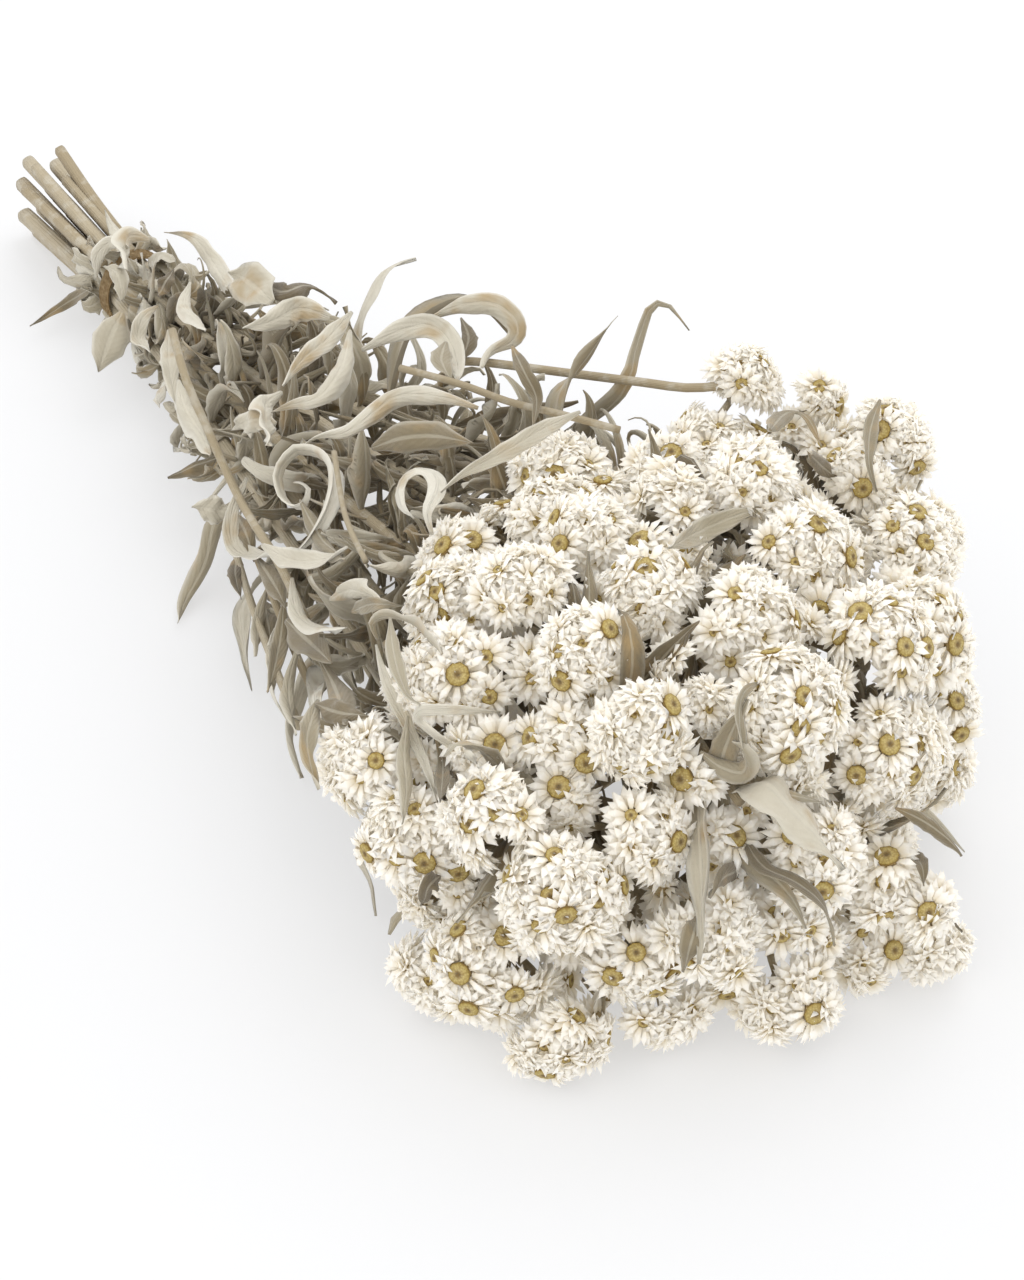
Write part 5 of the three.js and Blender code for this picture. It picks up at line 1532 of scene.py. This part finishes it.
def stem_piece(stem):
    """One stem with its leaves, those of the part and those that only the picture shows."""
    random = np.random.default_rng(3000 + stem["index"])
    name = "whorled_shoot" if stem["start"] else f"leafy_stem_{stem['index'] + 1:02d}"
    surface = Surface(name)
    count = max(int((stem["end_y"] - stem["fork"][1]) / TUBE_STEP), 8)
    heights = np.linspace(stem["end_y"], stem["fork"][1], count)
    points = np.array([stem_point(stem, y) for y in heights])
    radii_here = np.array([stem_radius(stem, y) for y in heights]) * (1 + random.uniform(-0.03, 0.03, count))
    radii_here *= 1 + 0.12 * np.clip((heights - TIE[1]) / 20, 0, 1)
    tube(surface, points, radii_here * 0.97, 1, sides=TUBE_SIDES, ridges=STEM_RIDGES, ridge_depth=0.05,
         tone=random.uniform(0.2, 0.9), cap=2)
    for leaf in stem["leaves"]:
        tone = random.uniform(0.3, 0.6) if stem["start"] else random.uniform(0.05, 1)
        blade(surface, leaf, 0, random, crumple=random.uniform(0.4, 1.1), tone=tone)
    if not stem["start"]:
        for leaf, crumpled in extra_leaves(stem):
            # Painted shade: leaves deeper in the mass get darker tones, as shade falls there; crumpled leaves
            # keep their own tone.
            outness = float(np.clip(mass_place(leaf_samples(leaf)[0]).mean() / 0.95, 0, 1))
            painted_shade = 0 if crumpled else 1 - outness
            tone = random.uniform(0.4, 0.95) if crumpled else random.uniform(0.25, 1.1) * (1 - painted_shade)
            if not crumpled and random.uniform() < ROLLED_SHARE:
                course = [frame[0] for frame in leaf["frames"]]
                swell = np.interp(np.linspace(0, 1, len(course)), (0, 0.4, 1), (0.6, 1, 0.2))
                tube(surface, course, ROLLED_RADIUS * leaf["width"] * swell, 0, sides=6, tone=tone)
                continue
            blade(surface, leaf, 0, random, rows=EXTRA_ROWS, columns=5 if crumpled else 4,
                  crumple=random.uniform(0.6, 1.3) if crumpled else random.uniform(0.4, 1.2), tone=tone)
        for leaf in inner_leaves(stem):
            # Painted shade: the inner leaves get dark tones, as shade falls in the depths between the
            # clusters.
            tone = random.uniform(0, 0.35)
            blade(surface, leaf, 0, random, rows=INNER_ROWS, columns=2, crumple=0.6, tone=tone)
    for number, width, twist, tone, crumple, lift, pixels in PICTURE_LEAVES:
        if number == stem["index"]:
            leaf = picture_leaf(width, twist, over_bunch(pixels, lift, (0,)))
            blade(surface, leaf, 0, random, rows=PICTURE_ROWS, crumple=1.3 * crumple, tone=tone)
    courses = [(radius, over_bunch(pixels, lift, (0, -1)))
               for number, radius, lift, pixels in PICTURE_STALKS if number == stem["index"]]
    courses += [(radius, at_heights(pixels, height))
                for number, radius, height, pixels in CUT_STALKS if number == stem["index"]]
    for radius, line in courses:
        course = smooth_line(line, LEAF_STEPS)
        tube(surface, course, np.full(len(course), radius), 1, sides=PICTURE_STALK_SIDES,
             ridges=STEM_RIDGES, ridge_depth=0.06, tone=random.uniform(0.3, 0.8), cap=2)
    mesh = surface.mesh([MATERIALS["leaf"], MATERIALS["stem"], MATERIALS["cut"]])
    return new_object(name, mesh)


def tie_piece():
    """The band: turns of flat fibre side by side round the stems."""
    surface = Surface("fibre_band")
    random = np.random.default_rng(77)
    sides = len(STRAND)
    pitch = TIE_WIDTH / TIE_TURNS
    for strand in range(TIE_TURNS):
        along = (strand + 0.5) / TIE_TURNS - 0.5
        corners, faces = [], []
        for i in range(TIE_STEPS):
            k = (i + 1) % TIE_STEPS
            angle = 2 * math.pi * i / TIE_STEPS
            wobble = 0.12 * math.sin(3 * angle + strand) + random.uniform(-0.03, 0.03)
            for j, (out, shift) in enumerate(STRAND):
                m = (j + 1) % sides
                corners.append(tie_point(angle, out, along + (shift * pitch + wobble * 0.4) / TIE_WIDTH))
                faces.append((i * sides + j, k * sides + j, k * sides + m, i * sides + m))
        surface.grow(corners, faces, 0, across=np.tile([0, 0.2, 0.5, 0.8, 1.0], TIE_STEPS),
                     along=np.repeat(np.arange(TIE_STEPS) / TIE_STEPS, sides))
    return new_object(surface.name, surface.mesh([MATERIALS["fibre"]]))


# The pieces, each in place of its node
plan_fillers()
flowers = flower_tree(layer_tree())
bract, heart = bract_object(), heart_object()
pieces = []
for stem in stems:
    if stem["start"]:
        pieces.append((stem_piece(stem), "leafy_shoot", "leaf"))
        continue
    number = f"{stem['index'] + 1:02d}"
    pieces.append((stem_piece(stem), f"stem_{number}", "leaf"))
    pieces.append((corymb_piece(stem, flowers, bract, heart), f"corymb_{number}", "flower"))
pieces.append((tie_piece(), "tie_band", "band"))
for helper in (bract, heart):
    bpy.data.objects.remove(helper)
for piece, node, slot in pieces:
    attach(piece, "root")
    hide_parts(node)


# The floor, the light and the camera. The floor glows a little, as the photo's ground is evenly white.
FLOOR_GLOW = 0.505
FLOOR_HALF = 3


def add_floor():
    mesh = bpy.data.meshes.new("floor")
    corners = [(x * FLOOR_HALF, y * FLOOR_HALF, 0) for x, y in ((-1, -1), (1, -1), (1, 1), (-1, 1))]
    mesh.from_pydata(corners, [], [(0, 1, 2, 3)])
    floor = new_object("floor", mesh)
    material, _, shader = new_material("pale_floor", 0.9)
    shader.inputs["Base Color"].default_value = (0.36, 0.36, 0.362, 1)
    shader.inputs["Emission Color"].default_value = (1, 1, 1, 1)
    shader.inputs["Emission Strength"].default_value = FLOOR_GLOW
    mesh.materials.append(material)


def add_light(name, place, target, size, power):
    light = bpy.data.lights.new(name, "AREA")
    light.shape = "DISK"
    light.size = size
    light.energy = power
    made = new_object(name, light)
    made.location = place
    made.rotation_euler = (target - place).to_track_quat("-Z", "Y").to_euler()


def add_camera():
    camera = bpy.data.cameras.new("camera")
    camera.lens = CAMERA_LENS
    camera.sensor_width = CAMERA_SENSOR
    camera.sensor_fit = "AUTO"
    camera.clip_start = 0.01
    made = new_object("camera", camera)
    made.location = to_frame(CAMERA_PLACE)
    made.rotation_euler = Vector(-CAMERA_AWAY).to_track_quat("-Z", "Y").to_euler()
    bpy.context.scene.camera = made


add_floor()
centre = Vector(to_frame((0, 20, 40)))
add_light("key", centre + Vector((0.5, 0.35, 0.95)), centre, 0.9, 2.5)
add_light("fill", centre + Vector((-0.9, -0.5, 0.8)), centre, 1.2, 2)
world = bpy.data.worlds.new("studio")
world.use_nodes = True
world.node_tree.nodes["Background"].inputs["Color"].default_value = (0.97, 0.98, 1.0, 1)
world.node_tree.nodes["Background"].inputs["Strength"].default_value = 1.25
bpy.context.scene.world = world
add_camera()
bpy.context.scene.view_settings.view_transform = "Standard"
